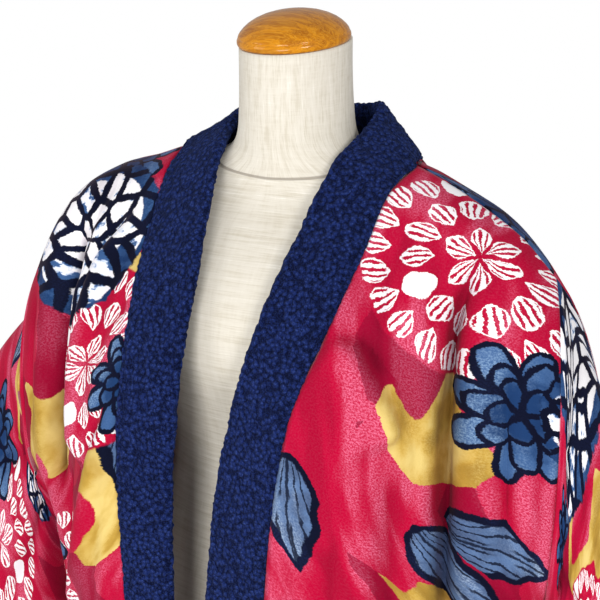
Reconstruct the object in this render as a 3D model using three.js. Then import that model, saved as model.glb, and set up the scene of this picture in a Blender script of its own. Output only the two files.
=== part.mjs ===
// A plush hanten jacket on a limbless dress form with a turned wood cap, pole and round base.
// Millimetres, +Z up. The wearer faces -Y, so the wearer's left side is +X.
// The origin is on the floor, at the centre of the base's flat underside.
import * as THREE from 'three';

// ---------------------------------------------------------------- driving dimensions
const CLOTH = 2.4; // thickness of the plush cloth wall
const SEAM_PULL = 0.3; // each piece stops this far short of a seam line
const STEPS_ABOVE = 2; // wall rows per level down to the underarm
const STEPS_BELOW = 3; // wall rows per level from the underarm to the hem
const UNDERARM_LEVEL = 6;
const SLEEVE_RINGS = 11; // spaces between rings along a sleeve
const SLEEVE_DEEP = 60; // half of a sleeve's thickness front to back at the armhole
const CUFF_DEEP = 44; // the same at the cuff
const SEAM_FADE = 0.45; // share of the sleeve over which the armhole's own shape fades out

const BASE_RADIUS = 165;
const BASE_HIGH = 14;
const POLE_RADIUS = 15;
const FORM_BOTTOM = 702;
const CAP_RADIUS = 53;
const CAP_LEAN = THREE.MathUtils.degToRad(9);
const NECK_TOP = new THREE.Vector3(0, -5, 1424);
const FIT_GAP = 0.3;

const LEFT = 1;
const RIGHT = -1;
const FRONT = -1;
const BACK = 1;

// ---------------------------------------------------------------- tables
// Turns rows of numbers into objects with named columns.
const table = (columns, ...rows) => rows.map((row) => (
  Object.fromEntries(columns.split(' ').map((name, i) => [name, row[i]]))
));

// Ten levels run down every line: shoulder ridge, collarbone, upper chest, chest, bust, waist,
// underarm, hip, thigh and hem. The seam line is the armhole down to the underarm, then the side.
// half is the distance out from the middle, drift how far both sides are moved along X, and rise
// how much higher the wearer's right side stands.
const FRONT_LINES = [
  { line: 'collar edge', steps: 0, points: table('half drift y z',
    [127, -3, 4, 1318], [119, 0, -42, 1300], [114, 3, -85, 1255], [106, 2, -124, 1202],
    [91, -7, -158, 1118], [84, -12, -168, 1036], [76, -12, -172, 932], [71, -13, -176, 820],
    [69, -15, -179, 670], [68, -17, -181, 510]) },
  { line: 'bust', steps: 3, points: table('half drift y z rise',
    [153, -1, 2, 1307, 2], [152, 0, -38, 1292, 4], [147, 0, -80, 1245, 2], [141, 0, -115, 1190],
    [134, -3, -148, 1115], [131, -5, -158, 1035], [129, -5, -162, 928], [126, -6, -166, 820],
    [125, -7, -169, 670], [125, -8, -172, 510]) },
  { line: 'armpit', steps: 4, points: table('half drift y z rise',
    [195, 0, 0, 1285, 12], [200, 0, -37, 1272, 13], [205, 0, -62, 1237, 11], [208, 0, -76, 1186, 6],
    [211, 0, -84, 1115], [212, 0, -88, 1032], [212, 0, -90, 924], [206, 0, -94, 820],
    [201, 0, -98, 670], [198, 0, -101, 510]) },
  { line: 'roll', steps: 4, points: table('half drift y z rise',
    [230, 0, 0, 1262, 15], [241, 0, -30, 1246, 15], [249, 0, -56, 1212, 13], [254, 0, -70, 1165, 8],
    [257, 0, -78, 1098, 3], [257, 0, -78, 1014], [250, 0, -66, 920], [238, 0, -58, 820],
    [231, 0, -57, 670], [228, 0, -58, 510]) },
  { line: 'seam', steps: 3, points: table('half drift y z rise',
    [262, 0, 0, 1230, 11], [275, 0, -24, 1204, 10], [285, 0, -44, 1166, 10], [291, 0, -56, 1120, 6],
    [292, 0, -61, 1052, 2], [285, 0, -55, 975], [260, 0, 0, 905], [248, 0, 0, 820],
    [243, 0, 0, 670], [240, 0, 0, 510]) },
];

const BACK_LINES = [
  { line: 'centre', steps: 0, points: table('half drift y z',
    [0, 0, 101, 1306], [0, 0, 109, 1280], [0, 0, 115, 1240], [0, 0, 118, 1190],
    [0, 0, 117, 1115], [0, 0, 116, 1035], [0, 0, 119, 928], [0, 0, 127, 820],
    [0, 0, 135, 670], [0, 0, 141, 510]) },
  { line: 'mid neck', steps: 2, points: table('half drift y z',
    [60, -1, 92, 1310], [63, 0, 102, 1284], [66, 0, 110, 1242], [68, 0, 114, 1190],
    [68, 0, 114, 1115], [68, 0, 113, 1035], [68, 0, 116, 928], [66, 0, 123, 820],
    [64, 0, 131, 670], [63, 0, 137, 510]) },
  { line: 'neck corner', steps: 2, points: table('half drift y z',
    [104, -2, 56, 1316], [101, 0, 77, 1294], [97, 0, 98, 1248], [95, 0, 107, 1191],
    [95, 0, 109, 1115], [95, 0, 108, 1035], [95, 0, 111, 928], [92, 0, 119, 820],
    [90, 0, 127, 670], [88, 0, 133, 510]) },
  { line: 'neck point', steps: 2, points: table('half drift y z',
    [127, -3, 4, 1318], [124, 0, 48, 1304], [120, 0, 84, 1253], [118, 0, 99, 1192],
    [118, 0, 104, 1115], [118, 0, 104, 1035], [118, 0, 107, 927], [114, 0, 113, 820],
    [112, 0, 121, 670], [110, 0, 127, 510]) },
  { line: 'blade', steps: 3, points: table('half drift y z rise',
    [153, -1, 2, 1307, 2], [153, 0, 44, 1293, 4], [152, 0, 77, 1248, 2], [152, 0, 91, 1190],
    [152, 0, 97, 1115], [152, 0, 98, 1034], [152, 0, 100, 926], [148, 0, 106, 820],
    [146, 0, 114, 670], [144, 0, 120, 510]) },
  { line: 'tip', steps: 4, points: table('half drift y z rise',
    [195, 0, 0, 1285, 12], [201, 0, 37, 1272, 13], [207, 0, 62, 1239, 11], [210, 0, 76, 1186, 6],
    [212, 0, 84, 1115], [212, 0, 86, 1032], [210, 0, 88, 924], [203, 0, 93, 820],
    [198, 0, 99, 670], [195, 0, 103, 510]) },
  { line: 'roll', steps: 4, points: table('half drift y z rise',
    [230, 0, 0, 1262, 15], [240, 0, 22, 1244, 14], [247, 0, 43, 1210, 10], [251, 0, 57, 1163, 6],
    [255, 0, 68, 1097, 3], [256, 0, 72, 1014], [249, 0, 63, 918], [237, 0, 59, 820],
    [230, 0, 61, 670], [227, 0, 63, 510]) },
  { line: 'seam', steps: 3, points: table('half drift y z rise',
    [262, 0, 0, 1230, 11], [273, 0, 17, 1203, 9], [282, 0, 31, 1165, 7], [288, 0, 43, 1119, 5],
    [291, 0, 55, 1052, 2], [284, 0, 53, 975], [260, 0, 0, 905], [248, 0, 0, 820],
    [243, 0, 0, 670], [240, 0, 0, 510]) },
];

// The collar's free edge: three points round the nape, then one for each level of the front.
const FREE_EDGE = table('half drift y z',
  [0, 0, 76, 1359], [38, 0, 69, 1361], [65, 1, 42, 1366],
  [70, 3, 4, 1350], [61, 5, -46, 1323], [51, 6, -87, 1273], [40, 5, -125, 1215],
  [31, -5, -149, 1136], [25, -16, -158, 1040], [19, -19, -164, 934], [16, -18, -168, 820],
  [15, -18, -171, 670], [14, -18, -173, 510]);
const NAPE_POINTS = 3;

// The collar band's section: how far across it from the sewn edge, as a share of its width plus a
// distance, and how far it stands out of the middle of the band.
const BAND_SECTION = table('share more lift',
  [0, 0.3, 0], [0, 3, 1.9], [0, 9, 4.9], [0.33, 0, 6.3], [0.63, 0, 6.1], [1, -8, 4.8], [1, -2, 2.5],
  [1, 0, 0], [1, -3, -2.7], [1, -9, -3.3], [0.5, 0, -3.4], [0, 9, -2.6], [0, 3, -1.2]);

// Folds: each is a soft ridge (lift above 0) or trough between two places, bowed in the middle.
// On the body a place is its X and its height. On a sleeve it is the distance along from the
// armhole and the distance down from the top edge. wide is the reach to either side.
const FOLD_COLUMNS = 'a0 d0 a1 d1 bow lift wide';
const FOLDS_LEFT_FRONT = table(FOLD_COLUMNS,
  [206, 1262, 212, 905, 0, -17, 13], [229, 1246, 235, 890, 0, 9, 15], [184, 1236, 192, 905, 0, 5, 14],
  [104, 1192, 168, 1096, 15, -7, 20], [156, 1270, 180, 1110, 4, 5, 14], [170, 1086, 168, 905, 3, -7, 15],
  [112, 900, 106, 510, 0, -7, 17], [160, 900, 168, 510, 0, 8, 20],
  [190, 880, 200, 510, 0, -10, 15], [222, 860, 226, 510, 0, 7, 15]);
const FOLDS_RIGHT_FRONT = table(FOLD_COLUMNS,
  [-206, 1264, -244, 950, -2, -16, 12], [-230, 1246, -262, 940, 0, 7, 15],
  [-126, 1274, -150, 1010, -24, 8, 12], [-143, 1268, -168, 1010, -24, -10, 12],
  [-100, 1108, -186, 846, 8, 7, 12], [-116, 1102, -204, 850, 8, -10, 12],
  [-128, 900, -118, 510, 0, -8, 17], [-166, 840, -172, 510, 0, 6, 18], [-200, 830, -204, 510, 0, -10, 15]);
const FOLDS_BACK = table(FOLD_COLUMNS,
  [206, 1250, 214, 900, 0, -14, 13], [-206, 1250, -214, 900, 0, -14, 13],
  [228, 1240, 236, 890, 0, 7, 15], [-228, 1240, -236, 890, 0, 7, 15],
  [60, 1230, 76, 900, 8, -4, 18], [-70, 1215, -86, 880, -8, -5, 17], [4, 1180, -6, 520, 0, -6, 22],
  [110, 960, 124, 510, 0, -9, 20], [-112, 940, -128, 510, 0, -8, 21], [168, 900, 176, 510, 0, 7, 18],
  [-170, 900, -180, 510, 0, 8, 18], [52, 760, 60, 510, 0, 6, 20], [-56, 760, -62, 510, 0, 6, 20]);

// The top and the bottom edge of each sleeve, from the armhole to the cuff.
const SLEEVES = {
  sleeve_left: {
    side: LEFT,
    top: table('x y z', [262, 0, 1230], [294, 1, 1150], [343, 4, 1050], [444, 8, 893]),
    bottom: table('x y z', [260, 0, 905], [286, 2, 884], [300, 6, 762], [352, 12, 604]),
    frontFolds: table(FOLD_COLUMNS, [62, 246, 250, 130, -10, -9, 18],
      [70, 284, 330, 220, -8, -8, 16], [40, 190, 200, 60, 6, 5, 20]),
    backFolds: table(FOLD_COLUMNS, [64, 248, 246, 136, -8, -8, 18],
      [70, 282, 330, 212, -8, -8, 16], [60, 170, 220, 50, 6, 5, 20]),
  },
  sleeve_right: {
    side: RIGHT,
    top: table('x y z', [-262, 0, 1241], [-295, -6, 1157], [-356, -8, 1088], [-480, 0, 936]),
    bottom: table('x y z', [-260, 0, 905], [-284, 0, 884], [-302, 4, 772], [-372, 10, 640]),
    frontFolds: table(FOLD_COLUMNS, [60, 232, 280, 104, -12, -10, 18],
      [70, 280, 330, 200, -8, -8, 17], [48, 168, 204, 40, 8, 6, 20]),
    backFolds: table(FOLD_COLUMNS, [62, 246, 250, 122, -8, -8, 18],
      [70, 284, 320, 224, -6, -7, 16], [70, 152, 236, 48, 6, 5, 20]),
  },
};
const SLEEVE_LONG = 390;
const SLEEVE_WIDE = 300;

// Level sections of the form: half width, depth in front of and behind the neck's axis, and how
// square the section is. lean tips the section down at the front, in degrees.
const FORM_SECTIONS = table('z half front back square lean',
  [FORM_BOTTOM, 158, 92, 104, 2.3, 0], [720, 166, 98, 109, 2.3, 0], [790, 173, 106, 113, 2.3, 0],
  [870, 172, 108, 108, 2.2, 0], [950, 148, 100, 92, 2.2, 0], [1030, 130, 96, 82, 2.1, 0],
  [1090, 138, 106, 88, 2.1, 0], [1140, 148, 122, 94, 2.1, 0], [1180, 155, 121, 98, 2.1, 0],
  [1215, 164, 107, 99, 2.2, 0], [1242, 176, 89, 95, 2.2, 0], [1262, 185, 73, 87, 2.1, 0],
  [1277, 188, 62, 79, 1.9, 0], [1291.2, 179, 55, 72, 1.7, 0], [1303.2, 148, 53, 66, 1.6, 0],
  [1310.5, 117, 52.5, 63, 1.65, 0], [1316.5, 94, 52, 61, 1.7, 0], [1322.5, 77, 52.5, 60, 1.8, 1],
  [1331, 63, 53.5, 58, 1.9, 2], [1343, 56, 55, 55.5, 2, 3], [1366, 53.5, 56, 52, 2, 5],
  [1398, 52.5, 57, 48.5, 2, 7], [1424, 52.5, 57.5, 47.5, 2, 9]);
const FORM_AROUND = 32;

// ---------------------------------------------------------------- finishes
const finish = (color, roughness, metalness = 0) => (
  new THREE.MeshStandardMaterial({ color, roughness, metalness })
);
const PLUSH = finish(0xa3152f, 0.85);
const PILE = finish(0x252f5e, 1);
const LINEN = finish(0xe9e2d4, 0.95);
const WOOD = finish(0xc07c22, 0.35);
const METAL = finish(0x8d8f92, 0.4, 0.8);

const group = new THREE.Group();

// ---------------------------------------------------------------- helpers
const vec = (row) => new THREE.Vector3(row.x, row.y, row.z);
const smooth = (t) => THREE.MathUtils.smoothstep(t, 0, 1);

// A smooth curve through points, read by its place in the list of points.
function curveThrough(points) {
  const curve = new THREE.CatmullRomCurve3(points, false, 'centripetal');
  return (place) => curve.getPoint(THREE.MathUtils.clamp(place / (points.length - 1), 0, 1));
}

// Adds one closed mesh. Its triangles are turned over together if they point inwards.
function addSolid(name, vertices, triangles, material) {
  let volume = 0;
  for (const [a, b, c] of triangles) {
    volume += vertices[a].dot(vertices[b].clone().cross(vertices[c]));
  }
  const ordered = volume < 0 ? triangles.map(([a, b, c]) => [a, c, b]) : triangles;
  const geometry = new THREE.BufferGeometry();
  geometry.setAttribute('position', new THREE.Float32BufferAttribute(
    vertices.flatMap((v) => [v.x, v.y, v.z]), 3));
  geometry.setIndex(ordered.flat());
  geometry.computeVertexNormals();
  const mesh = new THREE.Mesh(geometry, material);
  mesh.name = name;
  group.add(mesh);
}

// Two triangles for each space of a grid of vertex numbers, split along its shorter diagonal.
function gridFaces(vertices, numbers, closed, flip) {
  const faces = [];
  for (let r = 0; r + 1 < numbers.length; r += 1) {
    const width = numbers[r].length;
    for (let c = 0; c < (closed ? width : width - 1); c += 1) {
      const next = (c + 1) % width;
      const quad = [numbers[r][c], numbers[r][next], numbers[r + 1][next], numbers[r + 1][c]];
      const corners = quad.map((i) => vertices[i]);
      const turned = corners[0].distanceTo(corners[2]) > corners[1].distanceTo(corners[3]);
      const [i, j, k, l] = turned ? [quad[1], quad[2], quad[3], quad[0]] : quad;
      faces.push(...(flip ? [[i, k, j], [i, l, k]] : [[i, j, k], [i, k, l]]));
    }
  }
  return faces;
}

// A closed solid through rings of points, with a flat cap on each end.
function addLoft(name, rings, material) {
  const vertices = rings.flat();
  const width = rings[0].length;
  const numbers = rings.map((ring, r) => ring.map((_, c) => r * width + c));
  const faces = gridFaces(vertices, numbers, true, false);
  for (const [ring, flip] of [[0, false], [rings.length - 1, true]]) {
    const middle = vertices.length;
    vertices.push(rings[ring].reduce((sum, p) => sum.add(p), new THREE.Vector3())
      .divideScalar(width));
    for (let c = 0; c < width; c += 1) {
      const edge = [numbers[ring][(c + 1) % width], numbers[ring][c]];
      faces.push(flip ? [middle, edge[1], edge[0]] : [middle, ...edge]);
    }
  }
  addSolid(name, vertices, faces, material);
}

// ---------------------------------------------------------------- cloth surfaces
// A sheet has rows of points on the middle of the cloth. closed joins the last column to the
// first, which makes a tube. turn is 1 or -1, and makes its normals point out of the garment.

function sheetNormals({ rows, closed, turn }) {
  const width = rows[0].length;
  const column = (c) => (closed ? (c + width) % width : THREE.MathUtils.clamp(c, 0, width - 1));
  return rows.map((row, r) => row.map((_, c) => {
    const above = rows[Math.max(r - 1, 0)][c];
    const below = rows[Math.min(r + 1, rows.length - 1)][c];
    const across = row[column(c + 1)].clone().sub(row[column(c - 1)]);
    return across.cross(below.clone().sub(above)).normalize().multiplyScalar(turn);
  }));
}

// The lift of one fold at a place given in the fold's own coordinates.
function foldLift(a, d, fold) {
  const runA = fold.a1 - fold.a0;
  const runD = fold.d1 - fold.d0;
  const along = ((a - fold.a0) * runA + (d - fold.d0) * runD) / (runA ** 2 + runD ** 2);
  if (along <= 0 || along >= 1) return 0;
  const bow = fold.bow * Math.sin(Math.PI * along);
  const away = Math.hypot(a - fold.a0 - runA * along - bow, d - fold.d0 - runD * along);
  const fade = smooth(along / 0.22) * smooth((1 - along) / 0.16);
  return fold.lift * fade * Math.exp(-((away / fold.wide) ** 2));
}

// Moves a sheet's points out by the lift that liftAt gives for each of them.
function folded(sheet, liftAt) {
  const normals = sheetNormals(sheet);
  const rows = sheet.rows.map((row, r) => row.map((point, c) => (
    point.clone().addScaledVector(normals[r][c], liftAt(point, r, c))
  )));
  return { ...sheet, rows };
}

// The level of each row of a panel.
const LEVELS = FRONT_LINES[0].points.length;
const ROW_LEVELS = [0];
for (let level = 1; level < LEVELS; level += 1) {
  const steps = level <= UNDERARM_LEVEL ? STEPS_ABOVE : STEPS_BELOW;
  for (let step = 1; step <= steps; step += 1) ROW_LEVELS.push(level - 1 + step / steps);
}
const ARMHOLE_ROWS = UNDERARM_LEVEL * STEPS_ABOVE;

// The places across a panel: a line's number, plus a share of the way to the next line.
function columnPlaces(lines) {
  const places = [0];
  lines.forEach(({ steps }, i) => {
    for (let step = 1; step <= steps; step += 1) places.push(i - 1 + step / steps);
  });
  return places;
}

const onSide = (side) => ({ half, drift, y, z, rise = 0 }) => (
  new THREE.Vector3(side * half + drift, y, side === RIGHT ? z + rise : z)
);

// A line down a panel. The seam line turns at the underarm, so it is two curves.
function lineDown({ line, points }, side) {
  const places = points.map(onSide(side));
  if (line !== 'seam') return curveThrough(places);
  const armhole = curveThrough(places.slice(0, UNDERARM_LEVEL + 1));
  const sideSeam = curveThrough(places.slice(UNDERARM_LEVEL));
  return (at) => (at <= UNDERARM_LEVEL ? armhole(at) : sideSeam(at - UNDERARM_LEVEL));
}

function panelRows(lines, side) {
  const down = lines.map((line) => lineDown(line, side));
  return ROW_LEVELS.map((level) => {
    const across = curveThrough(down.map((at) => at(level)));
    return columnPlaces(lines).map(across);
  });
}

// Folds on a panel fade out towards its seams, and run out at the hem.
function foldedPanel(sheet, folds) {
  const last = sheet.rows[0].length - 1;
  return folded(sheet, (point, r, c) => {
    const clearOfSeams = Math.min(1, Math.min(c, last - c, r) / 2);
    return clearOfSeams * folds.reduce((sum, each) => sum + foldLift(point.x, point.z, each), 0);
  });
}

function frontSheet(side, folds) {
  return foldedPanel({ rows: panelRows(FRONT_LINES, side), closed: false, turn: -side }, folds);
}

// The back's top row takes the fronts' shoulder seams, so that the pieces meet along them.
function backSheet(frontLeft, frontRight) {
  const left = panelRows(BACK_LINES, LEFT);
  const right = panelRows(BACK_LINES, RIGHT);
  const shoulder = frontLeft.rows[0].length;
  left[0].splice(-shoulder, shoulder, ...frontLeft.rows[0]);
  right[0].splice(-shoulder, shoulder, ...frontRight.rows[0]);
  const rows = left.map((row, r) => [...right[r].toReversed(), ...row.slice(1)]);
  return foldedPanel({ rows, closed: false, turn: 1 }, FOLDS_BACK);
}

// The armhole as a ring: down the front from the shoulder, then up the back.
function armholeRing(front, back, side) {
  const column = side === LEFT ? back.rows[0].length - 1 : 0;
  const down = front.rows.slice(0, ARMHOLE_ROWS + 1).map((row) => row.at(-1));
  const up = back.rows.slice(1, ARMHOLE_ROWS).map((row) => row[column]).toReversed();
  return [...down, ...up];
}

// A sleeve starts as the armhole's own ring and becomes an oval that hangs to the cuff.
function sleeveSheet({ side, top, bottom, frontFolds, backFolds }, armhole) {
  const topAt = curveThrough(top.map(vec));
  const bottomAt = curveThrough(bottom.map(vec));
  const head = armhole[0];
  const under = armhole[ARMHOLE_ROWS];
  const drops = armhole.map((p) => (head.z - p.z) / (head.z - under.z));
  const faces = armhole.map((_, i) => (i <= ARMHOLE_ROWS ? FRONT : BACK));
  const oval = (share) => {
    const place = share * (top.length - 1);
    const deep = THREE.MathUtils.lerp(SLEEVE_DEEP, CUFF_DEEP, share);
    return drops.map((drop, i) => {
      const point = topAt(place).lerp(bottomAt(place), drop);
      point.y += faces[i] * deep * Math.sqrt(Math.max(0, 1 - (2 * drop - 1) ** 2));
      return point;
    });
  };
  const start = oval(0);
  const rows = [];
  for (let ring = 0; ring <= SLEEVE_RINGS; ring += 1) {
    const share = ring / SLEEVE_RINGS;
    const own = 1 - smooth(share / SEAM_FADE);
    rows.push(oval(share).map((point, i) => (
      point.addScaledVector(armhole[i].clone().sub(start[i]), own)
    )));
  }
  return folded({ rows, closed: true, turn: side }, (_, ring, i) => {
    const along = SLEEVE_LONG * (ring / SLEEVE_RINGS);
    const folds = faces[i] === FRONT ? frontFolds : backFolds;
    return Math.min(1, ring / 2) * folds.reduce((sum, each) => (
      sum + foldLift(along, SLEEVE_WIDE * drops[i], each)), 0);
  });
}

// ---------------------------------------------------------------- walls
const seamKey = (point) => point.toArray().map((value) => Math.round(value * 100)).join();
const isBorder = ({ rows, closed }, r, c) => (
  r === 0 || r === rows.length - 1 || (!closed && (c === 0 || c === rows[0].length - 1))
);

// Where pieces meet at a seam they share one normal, so that their edges lie face to face.
function seamedNormals(sheets) {
  const sums = new Map();
  const all = sheets.map(sheetNormals);
  const eachBorder = (visit) => sheets.forEach((sheet, s) => sheet.rows.forEach((row, r) => (
    row.forEach((point, c) => {
      if (isBorder(sheet, r, c)) visit(seamKey(point), all[s][r], c);
    }))));
  eachBorder((key, normals, c) => {
    sums.set(key, (sums.get(key) ?? new THREE.Vector3()).add(normals[c]));
  });
  eachBorder((key, normals, c) => {
    normals[c] = sums.get(key).clone().normalize();
  });
  return all;
}

// Draws each edge point back into its own piece, which leaves the gap at a seam.
function pulledBack({ rows, closed }) {
  const height = rows.length - 1;
  const width = rows[0].length - 1;
  return rows.map((row, r) => row.map((point, c) => {
    const inward = new THREE.Vector3();
    const towards = (other) => inward.add(other.clone().sub(point).normalize());
    if (r === 0) towards(rows[1][c]);
    if (r === height) towards(rows[height - 1][c]);
    if (!closed && c === 0) towards(row[1]);
    if (!closed && c === width) towards(row[width - 1]);
    return point.clone().addScaledVector(inward, SEAM_PULL);
  }));
}

// A closed wall of even thickness round a sheet.
function addWall(name, sheet, normals, material) {
  const middle = pulledBack(sheet);
  const face = (lift) => middle.map((row, r) => row.map((point, c) => (
    point.clone().addScaledVector(normals[r][c], lift))));
  const outer = face(CLOTH / 2);
  const inner = face(-CLOTH / 2);
  const vertices = [...outer.flat(), ...inner.flat()];
  const width = middle[0].length;
  const count = middle.length * width;
  const outerAt = middle.map((row, r) => row.map((_, c) => r * width + c));
  const innerAt = outerAt.map((row) => row.map((i) => i + count));
  const faces = (numbers, closed, flip) => gridFaces(vertices, numbers, closed, flip);
  const triangles = [...faces(outerAt, sheet.closed, false), ...faces(innerAt, sheet.closed, true)];
  const rim = (edge, closed, flip) => faces([edge, edge.map((i) => i + count)], closed, flip);
  triangles.push(...rim(outerAt[0], sheet.closed, true), ...rim(outerAt.at(-1), sheet.closed, false));
  if (!sheet.closed) {
    triangles.push(...rim(outerAt.map((row) => row[0]), false, false));
    triangles.push(...rim(outerAt.map((row) => row.at(-1)), false, true));
  }
  addSolid(name, vertices, triangles, material);
}

// ---------------------------------------------------------------- garment
const frontLeft = frontSheet(LEFT, FOLDS_LEFT_FRONT);
const frontRight = frontSheet(RIGHT, FOLDS_RIGHT_FRONT);
const back = backSheet(frontLeft, frontRight);
const sleeveLeft = sleeveSheet(SLEEVES.sleeve_left, armholeRing(frontLeft, back, LEFT));
const sleeveRight = sleeveSheet(SLEEVES.sleeve_right, armholeRing(frontRight, back, RIGHT));
const cloth = {
  front_left: frontLeft,
  front_right: frontRight,
  back,
  sleeve_left: sleeveLeft,
  sleeve_right: sleeveRight,
};
const normals = seamedNormals(Object.values(cloth));
Object.entries(cloth).forEach(([name, sheet], i) => addWall(name, sheet, normals[i], PLUSH));

// The collar band follows the sewn edge from the left hem, round the nape, to the right hem.
function addCollar() {
  const napeColumn = columnPlaces(BACK_LINES.slice(0, NAPE_POINTS + 1));
  const napeMiddle = (back.rows[0].length - 1) / 2;
  const stationsFor = (side, front) => {
    const freeAt = curveThrough(FREE_EDGE.map(onSide(side)));
    const nape = napeColumn.slice(0, -1).map((place, i) => ({
      sewn: back.rows[0][napeMiddle + side * i], free: freeAt(place),
    }));
    const down = ROW_LEVELS.map((level, r) => ({
      sewn: front.rows[r][0], free: freeAt(NAPE_POINTS + level),
    }));
    return [...nape, ...down];
  };
  const left = stationsFor(LEFT, frontLeft);
  const right = stationsFor(RIGHT, frontRight);
  const stations = [...left.toReversed(), ...right.slice(1)];
  const rings = stations.map(({ sewn, free }, i) => {
    const before = stations[Math.max(i - 1, 0)];
    const after = stations[Math.min(i + 1, stations.length - 1)];
    const run = after.sewn.clone().add(after.free).sub(before.sewn).sub(before.free).normalize();
    const across = free.clone().sub(sewn);
    const width = across.length();
    across.normalize();
    const out = across.clone().cross(run).normalize();
    return BAND_SECTION.map(({ share, more, lift }) => (
      sewn.clone().addScaledVector(across, share * width + more).addScaledVector(out, lift)));
  });
  addLoft('collar', rings, PILE);
}
addCollar();

// ---------------------------------------------------------------- dress form
function formRing({ z, half, front, back: behind, square, lean }) {
  const middle = (behind - front) / 2;
  const tip = Math.tan(THREE.MathUtils.degToRad(lean));
  return Array.from({ length: FORM_AROUND }, (_, i) => {
    const angle = (2 * Math.PI * i) / FORM_AROUND;
    const bend = (value) => Math.sign(value) * Math.abs(value) ** (2 / square);
    const x = half * bend(Math.cos(angle));
    const y = bend(Math.sin(angle)) * (Math.sin(angle) < 0 ? front : behind);
    return new THREE.Vector3(x, y, z + (y - middle) * tip);
  });
}
addLoft('form_body', FORM_SECTIONS.map(formRing), LINEN);

// A solid turned round the Z axis, from a profile of radius and height.
function turned(name, profile, around, material) {
  const points = profile.map(({ r, z }) => new THREE.Vector2(r, z));
  const geometry = new THREE.LatheGeometry(points, around);
  geometry.rotateX(Math.PI / 2);
  const mesh = new THREE.Mesh(geometry, material);
  mesh.name = name;
  group.add(mesh);
  return mesh;
}

const cap = turned('form_cap', table('r z', [0, 0], [CAP_RADIUS - 2, 0], [CAP_RADIUS, 2],
  [CAP_RADIUS, 6], [CAP_RADIUS - 2.5, 10.5], [45.5, 16.5], [36, 22.5], [23, 26.8], [10, 28.8],
  [0, 29.2]), 32, WOOD);
cap.rotation.x = CAP_LEAN;
cap.position.copy(NECK_TOP).add(new THREE.Vector3(0, 0, FIT_GAP));

const poleBottom = BASE_HIGH + FIT_GAP;
const poleTop = FORM_BOTTOM - FIT_GAP;
turned('form_pole', table('r z', [0, poleBottom], [POLE_RADIUS, poleBottom], [POLE_RADIUS, poleTop],
  [0, poleTop]), 20, METAL);
turned('form_base', table('r z', [0, 0], [BASE_RADIUS - 3, 0], [BASE_RADIUS, 3], [BASE_RADIUS, 6],
  [BASE_RADIUS - 5, 9], [60, 12], [28, BASE_HIGH], [0, BASE_HIGH]), 40, METAL);

export default group;
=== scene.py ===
import math

import bmesh
import bpy
from mathutils import Matrix, Vector, noise


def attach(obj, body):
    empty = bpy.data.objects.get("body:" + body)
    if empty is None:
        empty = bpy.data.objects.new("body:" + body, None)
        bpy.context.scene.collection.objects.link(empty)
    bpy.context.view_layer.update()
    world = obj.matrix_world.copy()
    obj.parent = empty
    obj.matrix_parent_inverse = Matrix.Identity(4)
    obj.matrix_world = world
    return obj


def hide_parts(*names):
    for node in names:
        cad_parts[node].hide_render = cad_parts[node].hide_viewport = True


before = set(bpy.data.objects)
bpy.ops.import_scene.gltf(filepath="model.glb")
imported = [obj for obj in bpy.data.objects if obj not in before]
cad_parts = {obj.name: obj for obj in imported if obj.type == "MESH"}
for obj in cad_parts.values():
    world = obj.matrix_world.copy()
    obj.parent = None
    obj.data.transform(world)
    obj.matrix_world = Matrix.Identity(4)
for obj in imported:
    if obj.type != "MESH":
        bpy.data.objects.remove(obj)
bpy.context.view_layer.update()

# A plush hanten on a limbless dress form. Tables are in millimetres, finished meshes in metres.
MM = 0.001
LEFT, RIGHT = 1, -1  # the wearer's sides: the wearer faces -Y, so the left is +X
BODY = "root"

# ------------------------------------------------------------------ driving dimensions
CLOTH = 2.4  # thickness of the plush wall
SEAM_PULL = 0.3  # each panel stops this far short of a seam
SEAM_ROLL = 7.0  # cloth this near a seam turns in towards it
SEAM_DIP = 1.7  # how deep it turns in
HEM_TURN = 24.0  # height of the turned hem's stitching
STITCH_WIDE = 2.6  # how wide and how deep the stitching pulls the cloth in
STITCH_DEEP = 1.3
GRID = 4.6  # spacing of a panel's vertices
PILE_GRID = 2.1  # the same on the collar
BUST_LEVEL = 4
UNDERARM_LEVEL = 6

FULL_LIFT = 12.0  # a fold this high or deep shows its painted ridge highlight or painted trough shade in full
FOLD_REACH = 4  # a fold ends this many widths away
FOLD_START, FOLD_END = 0.22, 0.16  # shares of a fold's run over which it rises and dies away
BODY_FADE = 12.0  # folds fade this near a seam of the body
SLEEVE_FADE = 30.0  # and this near the armhole on a sleeve

SLEEVE_LONG = 390
SLEEVE_WIDE = 300
SLEEVE_DEEP = 60  # half the thickness at the armhole
CUFF_DEEP = 44  # and at the cuff
SEAM_FADE = 0.45  # share of a sleeve over which it leaves the armhole's outline

NAPE_POINTS = 3
NAPE_STEPS = (24, 22, 30)
BAND_AROUND = 70  # vertices round the band

FIT_GAP = 0.3
FORM_BOTTOM = 702
FORM_FOOT = Vector((0, 6, FORM_BOTTOM))  # where the form's underside closes
NECK_TOP = Vector((0, -5, 1424))
FORM_AROUND = 128
FORM_STEPS = 7  # rows from one level section to the next
CLOSING_SHARES = (0.97, 0.6, 0.25, 0.0)  # rings that close the form's two ends
LINEN_ROUND = 0.42  # metres of linen round the neck
NECK_SEAM_HEIGHT = 1333.0
NECK_SEAM_SLOPE = 0.55

CAP_LEAN = math.radians(9)
POLE_RADIUS = 15
BASE_HIGH = 14
FLOOR_RADIUS = 1.1  # metres


# ------------------------------------------------------------------ tables
def table(columns, *rows):
    """Rows of numbers as dictionaries with named columns."""
    names = columns.split()
    return [dict(zip(names, row)) for row in rows]


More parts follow.
